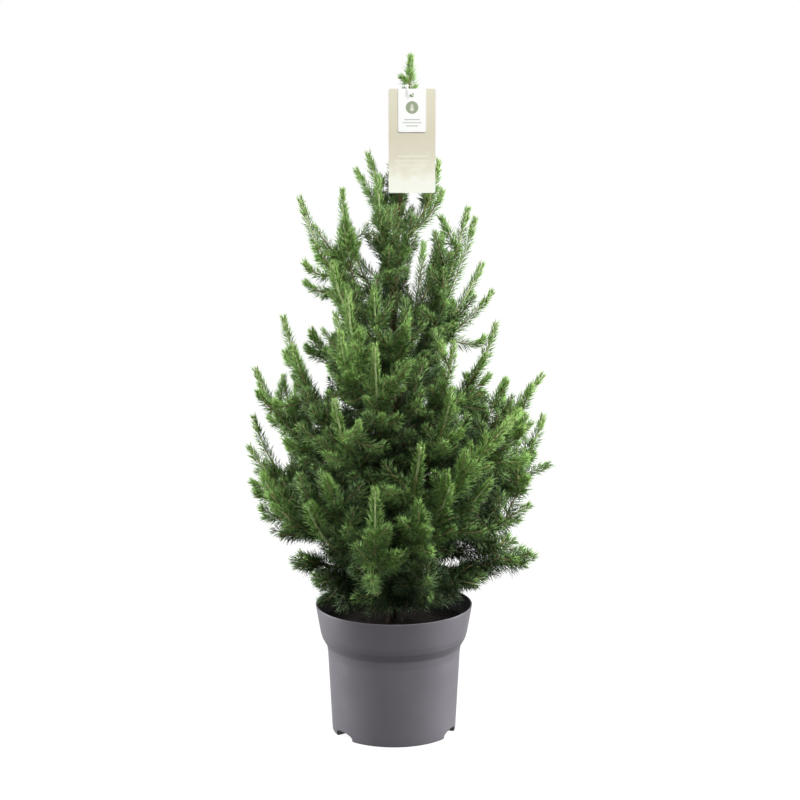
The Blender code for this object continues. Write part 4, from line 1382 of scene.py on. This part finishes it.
def make_twig_finish(name, dark, pale, roughness):
    """Twig skin: small flecks between two colours, as needle cushions make."""
    material, tree, shader, place = new_material(name, roughness, 0.4)
    streaks = lumps(tree, place, STREAK_SIZE, 3.0)
    colour = ramp(tree, streaks, [(0.35, dark), (0.65, pale)])
    wire(tree, shader, {"Base Color": colour, "Normal": bump(tree, streaks, STREAK_DEPTH)})
    return material


def leafy_end(shoot):
    """Where a shoot's wood ends, so that its last needles reach its planned tip."""
    return 1 - min(TIP_ROOM / curve_length(shoot.corners), TIP_ROOM_SHARE)


def slim_tube(corners, first, last, foot_radius, tip_radius, rings, sides):
    """A twig's tube between two shares of its curve, rooted a little inside what bears it."""
    points, along, side, other = frames(corners, np.linspace(first, last, rings + 1))
    points[0] -= along[0] * (ROOTED if first == 0 else 0.0)
    radii = np.linspace(foot_radius, tip_radius, rings + 1)
    return tube(points, side, other, radii[:, None], sides)


def wood_of(shoot, shares, rings, sides):
    """The tubes of one shoot between shares of its length, oldest wood first."""
    radii = [shoot.stem * (1 - (1 - TIP_TAPER) * share) for share in shares]
    spans = zip(shares, shares[1:], radii, radii[1:])
    return [slim_tube(shoot.corners, *span, rings, sides) for span in spans]


def make_wood():
    """Trunk and boughs as one piece; each bough starts a little inside the trunk."""
    bark = make_bark_finish()
    tubes = [trunk_tube()]
    for foot, bend, tip in boughs:
        tubes.append(bough_tube((foot - level(bend - foot) * BOUGH_ROOTED, bend, tip)))
    finish_piece(mesh_piece("trunk_and_boughs", *join(tubes), bark), ["trunk", *BOUGH_NODES])


def make_twigs():
    """Three pieces of twig wood, by age. A leading shoot has all three along its length."""
    old = make_twig_finish("last_year_brown_twig", "#585036", "#8A8258", 0.75)
    tan = make_twig_finish("ripening_tan_twig", "#7C7A48", "#ACA872", 0.6)
    green = make_twig_finish("green_spring_twig", "#A2B276", "#C6D29E", 0.5)
    brown_tubes, tan_tubes, green_tubes = [], [], []
    for shoot in leaders + outer:
        low = shoot.corners[2].z < LOW_WOOD
        old_end, tan_end = (LOW_BROWN_END, LOW_TAN_END) if low else (BROWN_END, TAN_END)
        brown, middle, young = wood_of(shoot, (0.0, old_end, tan_end, leafy_end(shoot)), 5, 6)
        brown_tubes.append(brown)
        tan_tubes.append(middle)
        green_tubes.append(young)
    for shoots, tubes, rings, sides in (
        (twigs, brown_tubes, 5, 4),
        (shade, brown_tubes, 3, 3),
        (side_shoots, tan_tubes, 2, 4),
        (lesser + fine_shoots + top_shoots, tan_tubes, 1, 3),
    ):
        for shoot in shoots:
            tubes += wood_of(shoot, (0.0, leafy_end(shoot)), rings, sides)
    for name, tubes, finish in (
        ("twigs_brown", brown_tubes, old),
        ("twigs_tan", tan_tubes, tan),
        ("twigs_green", green_tubes, green),
    ):
        finish_piece(mesh_piece(name, *join(tubes), finish), FOLIAGE_NODES)


make_wood()
make_twigs()

# %% [markdown]
# ## Needles
# A white spruce's needle is a stiff four-sided rod about 12 mm long and 1 mm thick that ends in a
# soft point. Needles stand all round the twig on a spiral: at 46 degrees in the upper crown and up
# to 66 low down, and pressed forward to 25 round the bud at a shoot's tip, where they make a slim
# bright brush. Each one here is a closed blade of four triangles, kite-shaped from above and thin
# from the side. They are worked out a whole shoot at a time.

# %% Needles along a shoot
NEEDLE_SEED = 3
NEEDLE_DEPTH = 0.70 * MM
# needles per mm, needles more in the brush at the tip, that brush's length, length and width in m
Needles = namedtuple("Needles", "per_mm brush zone length width")
LEAD_NEEDLES = Needles(2.6, 50, 0.026, 0.0134, 0.80 * MM)
SIDE_NEEDLES = Needles(2.1, 8, 0.010, 0.0116, 0.80 * MM)
SHADE_NEEDLES = Needles(1.6, 2, 0.006, 0.0132, 1.00 * MM)
FINE_NEEDLES = Needles(1.6, 2, 0.004, 0.0106, 0.90 * MM)
OPEN_LEAN, LOW_LEAN, TIP_LEAN, LEAN_SPREAD = 46, 66, 25, 10
WIDEST = 0.40
GAIN_LEAST, GAIN_FROM, GAIN_RUN = 0.2, 0.20, 0.22
LOW_ZONE, BRUSH_MOST = 0.3, 0.9
PRESSED_FROM, PRESSED_RUN = 0.75, 0.22
SPIRAL_CHANCE, SIZE_CHANCE = 0.3, (0.76, 1.12)
FEWEST = 8
CARD_CLEAR, RIM_CLEAR = 2.5 * MM, 1.5 * MM
TIP_SHORTER, LOW_LONGER, LOW_DENSER = 0.24, 0.34, 0.20
BARE_SHARE = 0.45
RAGGED = -0.001, 0.002
rolls = np.random.default_rng(NEEDLE_SEED)


def tip_gain(shoot):
    """How far a shoot's tip has the slim bright brush of the upper crown: little low down."""
    return min(1.0, max(GAIN_LEAST, (shoot.corners[2].z - GAIN_FROM) / GAIN_RUN))


def needles_along(shoot, kind):
    """Feet, middles, tips and sideways directions of a shoot's needles, and how near its tip each is."""
    length = curve_length(shoot.corners)
    bare = shoot.bare * BARE_SHARE
    high = tip_gain(shoot)
    dense = kind.per_mm * (1 + LOW_DENSER * (1 - high))
    count = max(FEWEST, int(length / MM * (1 - bare) * dense))
    leafy = (np.arange(count) + rolls.random(count)) / count
    zone = kind.zone * (LOW_ZONE + (1 - LOW_ZONE) * high)
    brush = min(BRUSH_MOST, zone / length)
    tuft = int(kind.brush * high)
    leafy = np.concatenate([leafy, 1 - brush * rolls.random(tuft)])
    count += tuft
    shares = bare + (leafy_end(shoot) - bare) * leafy
    points, along, side, other = frames(shoot.corners, shares)
    turn = (np.arange(count) * GOLDEN_TURN + rolls.normal(0, SPIRAL_CHANCE, count))[:, None]
    out = side * np.cos(turn) + other * np.sin(turn)
    from_tip = (leafy_end(shoot) - shares) * length
    pressed = 1 / (1 + np.exp((from_tip - zone * PRESSED_FROM) / (zone * PRESSED_RUN)))
    wide = LOW_LEAN + (OPEN_LEAN - LOW_LEAN) * high
    lean = wide + (TIP_LEAN - wide) * pressed + rolls.normal(0, LEAN_SPREAD, count)
    size = kind.length * (NEEDLE_GROWTH + (1 / NEEDLE_GROWTH - NEEDLE_GROWTH) * leafy)
    size *= (1 - TIP_SHORTER * pressed) * (1 + LOW_LONGER * (1 - high))
    size = (size * rolls.uniform(*SIZE_CHANCE, count))[:, None]
    lean = np.radians(lean)[:, None]
    foot = points + out * shoot.stem * 0.5
    tip = foot + (along * np.cos(lean) + out * np.sin(lean)) * size
    aside = np.cross(out, along) * kind.width / 2
    return foot, foot + (tip - foot) * WIDEST, tip, aside, pressed


def allowed(middle, tip, leading):
    """Which needles stay: none in a card or the pot, and none but a leading shoot's in a gap."""
    ragged = rolls.normal(*RAGGED, len(tip))
    kept = np.full(len(tip), leading) | ~(daylight(middle, ragged) | daylight(tip, ragged))
    for points in (middle, tip):
        x, y, z = points.T
        card = (abs(x - CARD_CENTRE_X) < CARD_WIDTH / 2 + MM) & (z > CARD_TOP - CARD_HEIGHT - MM)
        kept &= ~(card & (z < CARD_TOP + MM) & (y < CARD_Y + CARD_CLEAR))
        kept &= ~((z < POT_HEIGHT + MM) & (np.hypot(x, y) < POT_RIM + RIM_CLEAR))
    return kept


def blades(foot, middle, tip, aside):
    """Four triangles for each needle, round its foot, its tip and the two sides at its widest."""
    up = np.cross(tip - foot, aside)
    up *= NEEDLE_DEPTH / np.linalg.norm(up, axis=1, keepdims=True)
    points = np.stack([foot, middle + up - aside, middle + up + aside, tip], 1)
    corners = np.array([(0, 1, 2), (1, 3, 2), (0, 2, 3), (0, 3, 1)])
    faces = corners[None] + np.arange(len(foot))[:, None, None] * 4
    return points.reshape(-1, 3), faces.reshape(-1, 3)


print("a 100 mm leading shoot has", int(100 * LEAD_NEEDLES.per_mm), "needles")

# %% [markdown]
# ## Five greens
# New needles are a pale yellow green, older ones a fuller green, and those in the shade a dull dark one.
# The five greens are painted light and shade: each needle takes its green from the light it would get, from
# how far out and how high it stands, and from how near its shoot's tip it is, where the new growth is also
# truly paler, with a little chance by shoot and by needle. Those of the clear brushes in front get a
# painted highlight and are lighter. Each green is a finish with a plain colour; a waxy surface of IOR 1.45
# keeps the highlights soft. A mesh holds at most 48 000 needles, which keeps every piece easy to open.

# %% Greens and which needle takes which
# Five greens from dark to light, picked by painted light and shade; the lighter ones also stand for the
# paler new growth at the tips.
TINTS = (
    ("shade", "#425A35"),
    ("mature_and_shaded", "#6A8A4C"),
    ("leaf", "#7EA654"),
    ("spring", "#82A854"),
    ("new", "#90B260"),
)
PER_PIECE = 48000
LOW_SHADE, LOW_SHADE_HEIGHT = 6.0, 0.235
LIGHT_STEPS = (0.32, 0.56, 0.84, 1.14)
OUTER_LIGHT, TOP_LIGHT, TOP_RUN = 0.66, 0.42, 0.5
OLD_TOP = 0.7
CLEAR_LIGHT = 0.17
SHOOT_CHANCE, NEEDLE_CHANCE = 0.07, 0.10
NEEDLE_IOR, WAX_SIZE = 1.45, 4 * MM


def make_needle_finish(name, colour):
    """Waxy needle skin. Fine uneven wax is too small to see as more than soft gloss."""
    material, tree, shader, place = new_material(f"{name}_spruce_needle", 0.5, 0.35)
    gloss = spread(tree, lumps(tree, place, WAX_SIZE, 1.0), 0.42, 0.62)
    wire(tree, shader, {"IOR": NEEDLE_IOR, "Base Color": linear(colour), "Roughness": gloss})
    return material


def light_at(points):
    """How much light needles get, from about 0 in the crown's middle to 1 at its outside."""
    x, y, z = points.T
    heights, reaches = np.array(CROWN_OUTLINE).T * MM
    share = np.minimum(1.0, np.hypot(x, y) / np.interp(z, heights, reaches))
    rise = np.clip((z - CROWN_FOOT) / TOP_RUN, 0, 1)
    low = LOW_SHADE * np.maximum(0, LOW_SHADE_HEIGHT - z)
    return OUTER_LIGHT * share**2 + TOP_LIGHT * rise**1.5 - low


def needle_arrays():
    """All needles of the crown, in one set of arrays, with each one's green."""
    found = []
    for shoots, kind, fresher, lighter, leading in (
        (leaders, LEAD_NEEDLES, 0.62, 0.06, True),
        (outer, LEAD_NEEDLES, 0.45, 0.02, True),
        (twigs, SIDE_NEEDLES, 0.30, -0.04, True),
        (side_shoots + top_shoots, SIDE_NEEDLES, 0.20, -0.06, False),
        (shade, SHADE_NEEDLES, 0.12, -0.06, False),
        (lesser + fine_shoots, FINE_NEEDLES, 0.12, -0.08, False),
    ):
        for shoot in shoots:
            foot, middle, tip, aside, pressed = needles_along(shoot, kind)
            fresh = pressed * fresher * tip_gain(shoot) * (1 - OLD_TOP * shoot.corners[2].z)
            chance = rolls.normal(0, SHOOT_CHANCE) + rolls.normal(0, NEEDLE_CHANCE, len(foot))
            # Painted light and shade: the green follows where the needle stands, with a painted highlight
            # on the clear brushes; only fresh stands for truly paler new growth.
            light = light_at(tip) + fresh + lighter + chance + CLEAR_LIGHT * before_brush(tip)
            tint = np.digitize(light, LIGHT_STEPS)
            kept = allowed(middle, tip, leading)
            found.append([part[kept] for part in (foot, middle, tip, aside, tint)])
    return [np.concatenate(parts) for parts in zip(*found)]


def make_needles():
    """The needles of each green, in pieces of a limited size."""
    foot, middle, tip, aside, tint = needle_arrays()
    print("needles:", len(foot), "by green:", np.bincount(tint, minlength=len(TINTS)).tolist())
    for number, (name, colour) in enumerate(TINTS):
        finish = make_needle_finish(name, colour)
        chosen = np.flatnonzero(tint == number)
        for part in range(math.ceil(len(chosen) / PER_PIECE)):
            own = chosen[part * PER_PIECE : (part + 1) * PER_PIECE]
            arrays = blades(foot[own], middle[own], tip[own], aside[own])
            piece = mesh_piece(f"needles_{name}_{part + 1}", *arrays, finish)
            finish_piece(piece, FOLIAGE_NODES)


make_needles()

# %% [markdown]
# ## Hang cards
# Two cards hang in front of the leader from one thin plastic loop. The large one is beige board
# that fades to cream at its foot and has a faint pattern; the small one is white, with a round sage
# green mark. Real cards name a grower. These carry only a plain sprig, and cream or grey bars in
# place of lines of words.

# %% Card shapes
CARD_THICKNESS = 0.0006
CARD_CORNER = 0.0022
TAG_WIDTH, TAG_HEIGHT, TAG_CORNER = 0.0320, 0.0500, 0.0016
EYELET_DROP, EYELET_RADIUS, EYELET_SIDES = 0.0075, 0.0026, 40
INK, INK_SUNK = 0.05 * MM, 0.01 * MM
LEAF_POINTS, LEAF_WIDTH, LEAF_FOOT = 16, 0.24, 1.15
TAG_Y = CARD_Y - CARD_THICKNESS - GAP


def rounded_box(width, height, corner, steps=8):
    """The outline of a card in its own plane, from its middle, with round corners."""
    outline = []
    for number, (side, end) in enumerate(((1, 1), (-1, 1), (-1, -1), (1, -1))):
        for k in range(steps + 1):
            angle = math.pi / 2 * (number + k / steps)
            x = side * (width / 2 - corner) + corner * math.cos(angle)
            outline.append((x, end * (height / 2 - corner) + corner * math.sin(angle)))
    return outline


def prism(name, outlines, back, thickness, material):
    """Flat upright plates of one thickness from outlines of (x, z) points, as one closed mesh."""
    shape = bmesh.new()
    for outline in outlines:
        add_plate(shape, *([(x, y, z) for x, z in outline] for y in (back, back - thickness)))
    return solid_piece(name, shape, material)


def moved(outline, x, z):
    """An outline moved to another place in its plane."""
    return [(x + dx, z + dz) for dx, dz in outline]


def punched_card(name, width, height, corner, back, material):
    """A card with rounded corners and a round eyelet near its top."""
    outline = moved(rounded_box(width, height, corner), CARD_CENTRE_X, CARD_TOP - height / 2)
    card = prism(name, [outline], back, CARD_THICKNESS, material)
    hole = moved(circle(EYELET_RADIUS, EYELET_SIDES), CARD_CENTRE_X, CARD_TOP - EYELET_DROP)
    cut_out(card, [prism("punch", [hole], back + CARD_THICKNESS, 3 * CARD_THICKNESS, material)])
    return card


def leaf(x, z, length, turn):
    """A pointed leaf's outline from its foot, turned by an angle."""
    outline = []
    rise, run = math.sin(turn), math.cos(turn)
    for k in range(LEAF_POINTS):
        angle = math.tau * k / LEAF_POINTS
        along = length * (0.5 - 0.5 * math.cos(angle))
        aside = length * LEAF_WIDTH * math.sin(angle) * (LEAF_FOOT - along / length)
        outline.append((x + along * run - aside * rise, z + along * rise + aside * run))
    return outline


print("hang card:", round(CARD_WIDTH / MM, 1), "x", round(CARD_HEIGHT / MM, 1), "mm")

# %% [markdown]
# ## Printed board and ink
# The cards are coated board: a smooth paper coat over pulp, printed before it was cut. The print
# stands as thin plates on the board, a twentieth of a millimetre thick, so that its edges stay sharp
# from close by. Its gloss is a little uneven, as ink takes on the grain of the board.

# %% Printed board and ink
# all print is in mm on the card, each bar as (left, right) from the card's middle
BOARD_GRAIN, BOARD_GRAIN_DEPTH, BOARD_MOTTLE = 0.35 * MM, 0.02 * MM, 9 * MM
MARK_Z, MARK_RADIUS, MARK_SIDES = CARD_TOP - 0.0215, 0.0073, 48
SPRIG_FOOT = MARK_Z - MARK_RADIUS * 0.62
STEM_WIDTH, STEM_HEIGHT = 0.35 * MM, 8.2 * MM
LEAF_PAIRS, LEAF_ANGLE = 4, math.radians(52)
LEAF_LOWEST, LEAF_PITCH, LEAF_LENGTH, LEAF_SHORTER = 0.8, 2.0, 3.6, 0.5
TAG_BARS = ((-9, 9), (-11, 11), (-7, 7))
CARD_BARS = ((-17, 17), (-21, 21), (-12, 12))
# top bar's height, pitch and thickness of the bars
TAG_LAYOUT = (CARD_TOP - 0.0355, 3.6 * MM, 1.1 * MM)
CARD_LAYOUT = (CARD_TOP - 0.078, 5.2 * MM, 1.6 * MM)
BAR_CORNER = 0.45


def make_board(name, stops, mottle):
    """Coated board: a colour that fades down the card, with a faint mottled print over it."""
    material, tree, shader, place = new_material(name, 0.5, 0.4)
    height = add_node(tree, "SeparateXYZ", {"Vector": place}).outputs["Z"]
    down = spread(tree, height, 0.0, 1.0, CARD_TOP - CARD_HEIGHT, CARD_TOP)
    spots = spread(tree, lumps(tree, place, BOARD_MOTTLE, 3.0), -mottle, mottle)
    mixed = add_node(tree, "Math", {0: down, 1: spots}, operation="ADD").outputs[0]
    grain = bump(tree, lumps(tree, place, BOARD_GRAIN), BOARD_GRAIN_DEPTH)
    wire(tree, shader, {"Base Color": ramp(tree, mixed, stops), "Normal": grain})
    return material


def make_ink(name, colour):
    """Printed ink: flat colour with the board's slight unevenness in its gloss."""
    material, tree, shader, place = new_material(name, 0.45, 0.4)
    gloss = spread(tree, lumps(tree, place, BOARD_GRAIN), 0.38, 0.52)
    wire(tree, shader, {"Base Color": linear(colour), "Roughness": gloss})
    return material


def bars(rows, top, pitch, height):
    """Thin rounded bars that stand for lines of words: (left, right) in mm from the middle."""
    made = []
    for number, (left, right) in enumerate(rows):
        outline = rounded_box((right - left) * MM, height, height * BAR_CORNER, 3)
        centre = CARD_CENTRE_X + (left + right) / 2 * MM
        made.append(moved(outline, centre, top - number * pitch))
    return made


def sprig():
    """A stem with pairs of leaves that get shorter upwards."""
    stem = rounded_box(STEM_WIDTH, STEM_HEIGHT, 0.15 * MM, 3)
    outlines = [moved(stem, CARD_CENTRE_X, SPRIG_FOOT + STEM_HEIGHT / 2)]
    for k in range(LEAF_PAIRS):
        height = SPRIG_FOOT + (LEAF_LOWEST + LEAF_PITCH * k) * MM
        for side in (-1, 1):
            turn = math.pi / 2 - side * LEAF_ANGLE
            outlines.append(leaf(CARD_CENTRE_X, height, (LEAF_LENGTH - LEAF_SHORTER * k) * MM, turn))
    return outlines


def print_on(name, outlines, face, ink, node):
    """Print on the board's face, sunk into it a little so that no gap shows."""
    finish_piece(prism(name, outlines, face + INK_SUNK, INK, ink), [node])


def make_cards():
    """The two cards from the back to the front, each with its print."""
    foot = [(0.0, "#F6F7EE"), (0.12, "#F4F4E8"), (0.20, "#ECE9D8")]
    beige = foot + [(0.34, "#DCD7C3"), (0.55, "#D5D0BA"), (1.0, "#DCD8C3")]
    board = make_board("beige_printed_board", beige, 0.12)
    white = make_board("white_coated_board", [(0.0, "#F4F5F3"), (1.0, "#F6F7F5")], 0.3)
    large = punched_card("hang_card", CARD_WIDTH, CARD_HEIGHT, CARD_CORNER, CARD_Y, board)
    finish_piece(large, ["tag_card"])
    small = punched_card("hang_tag", TAG_WIDTH, TAG_HEIGHT, TAG_CORNER, TAG_Y, white)
    finish_piece(small, ["tag_small"])
    sage, pale = make_ink("sage_ink", "#9AA589"), make_ink("pale_ink", "#F2F4EC")
    grey, cream = make_ink("grey_ink", "#B9BDB4"), make_ink("cream_ink", "#E9E6D6")
    tag_face, card_face = TAG_Y - CARD_THICKNESS, CARD_Y - CARD_THICKNESS
    mark = moved(circle(MARK_RADIUS, MARK_SIDES), CARD_CENTRE_X, MARK_Z)
    print_on("printed_disc", [mark], tag_face, sage, "tag_small")
    print_on("printed_sprig", sprig(), tag_face + INK_SUNK - INK, pale, "tag_small")
    print_on("printed_bars", bars(TAG_BARS, *TAG_LAYOUT), tag_face, grey, "tag_small")
    print_on("card_bars", bars(CARD_BARS, *CARD_LAYOUT), card_face, cream, "tag_card")


make_cards()

# %% [markdown]
# ## The plastic loop
# The loop is the kind that a tagging gun shoots: a thin clear nylon thread that runs through both
# eyelets, over the cards and round the leader. Nylon is slightly glossy and milky rather than
# white. A closed curve with a round bevel is all that such a thread needs.

# %% Tie
NYLON_IOR, HAZE_SIZE = 1.53, 3 * MM
TIE_RADIUS, TIE_POINTS = 0.0006, 72
TIE_CENTRE_Y, TIE_CENTRE_Z = -0.0091, 0.7747
TIE_HALF_LENGTH, TIE_HALF_WIDTH, TIE_HALF_RISE = 0.0125, 0.0034, 0.0054


def make_tie():
    """A flat loop, long from front to back, that tilts down to its right."""
    material, tree, shader, place = new_material("milky_nylon", 0.3)
    haze = ramp(tree, lumps(tree, place, HAZE_SIZE), [(0.3, "#D6DAD3"), (0.7, "#E8EBE5")])
    wire(tree, shader, {"IOR": NYLON_IOR, "Base Color": haze})
    curve = bpy.data.curves.new("nylon_tie", "CURVE")
    curve.dimensions = "3D"
    curve.bevel_depth = TIE_RADIUS
    curve.bevel_resolution = 3
    spline = curve.splines.new("POLY")
    spline.points.add(TIE_POINTS - 1)
    spline.use_cyclic_u = True
    centre = Vector((trunk_centre(TIE_CENTRE_Z).x, TIE_CENTRE_Y, TIE_CENTRE_Z))
    for k in range(TIE_POINTS):
        angle = math.tau * k / TIE_POINTS
        along = TIE_HALF_LENGTH * math.cos(angle)
        aside = TIE_HALF_WIDTH * math.sin(angle)
        rise = -TIE_HALF_RISE * math.sin(angle)
        spline.points[k].co = (*(centre + Vector((aside, along, rise))), 1.0)
    guide = into_scene("nylon_guide", curve)
    mesh = evaluated_mesh(guide)
    bpy.data.objects.remove(guide, do_unlink=True)
    mesh.shade_smooth()
    mesh.materials.clear()
    mesh.materials.append(material)
    finish_piece(into_scene("nylon_tie", mesh), ["tag_tie"])


make_tie()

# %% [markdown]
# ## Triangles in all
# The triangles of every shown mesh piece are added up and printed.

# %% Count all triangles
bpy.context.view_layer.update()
total = sum(len(piece.data.loop_triangles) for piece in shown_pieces() if piece.type == "MESH")
print("triangles in all:", total)
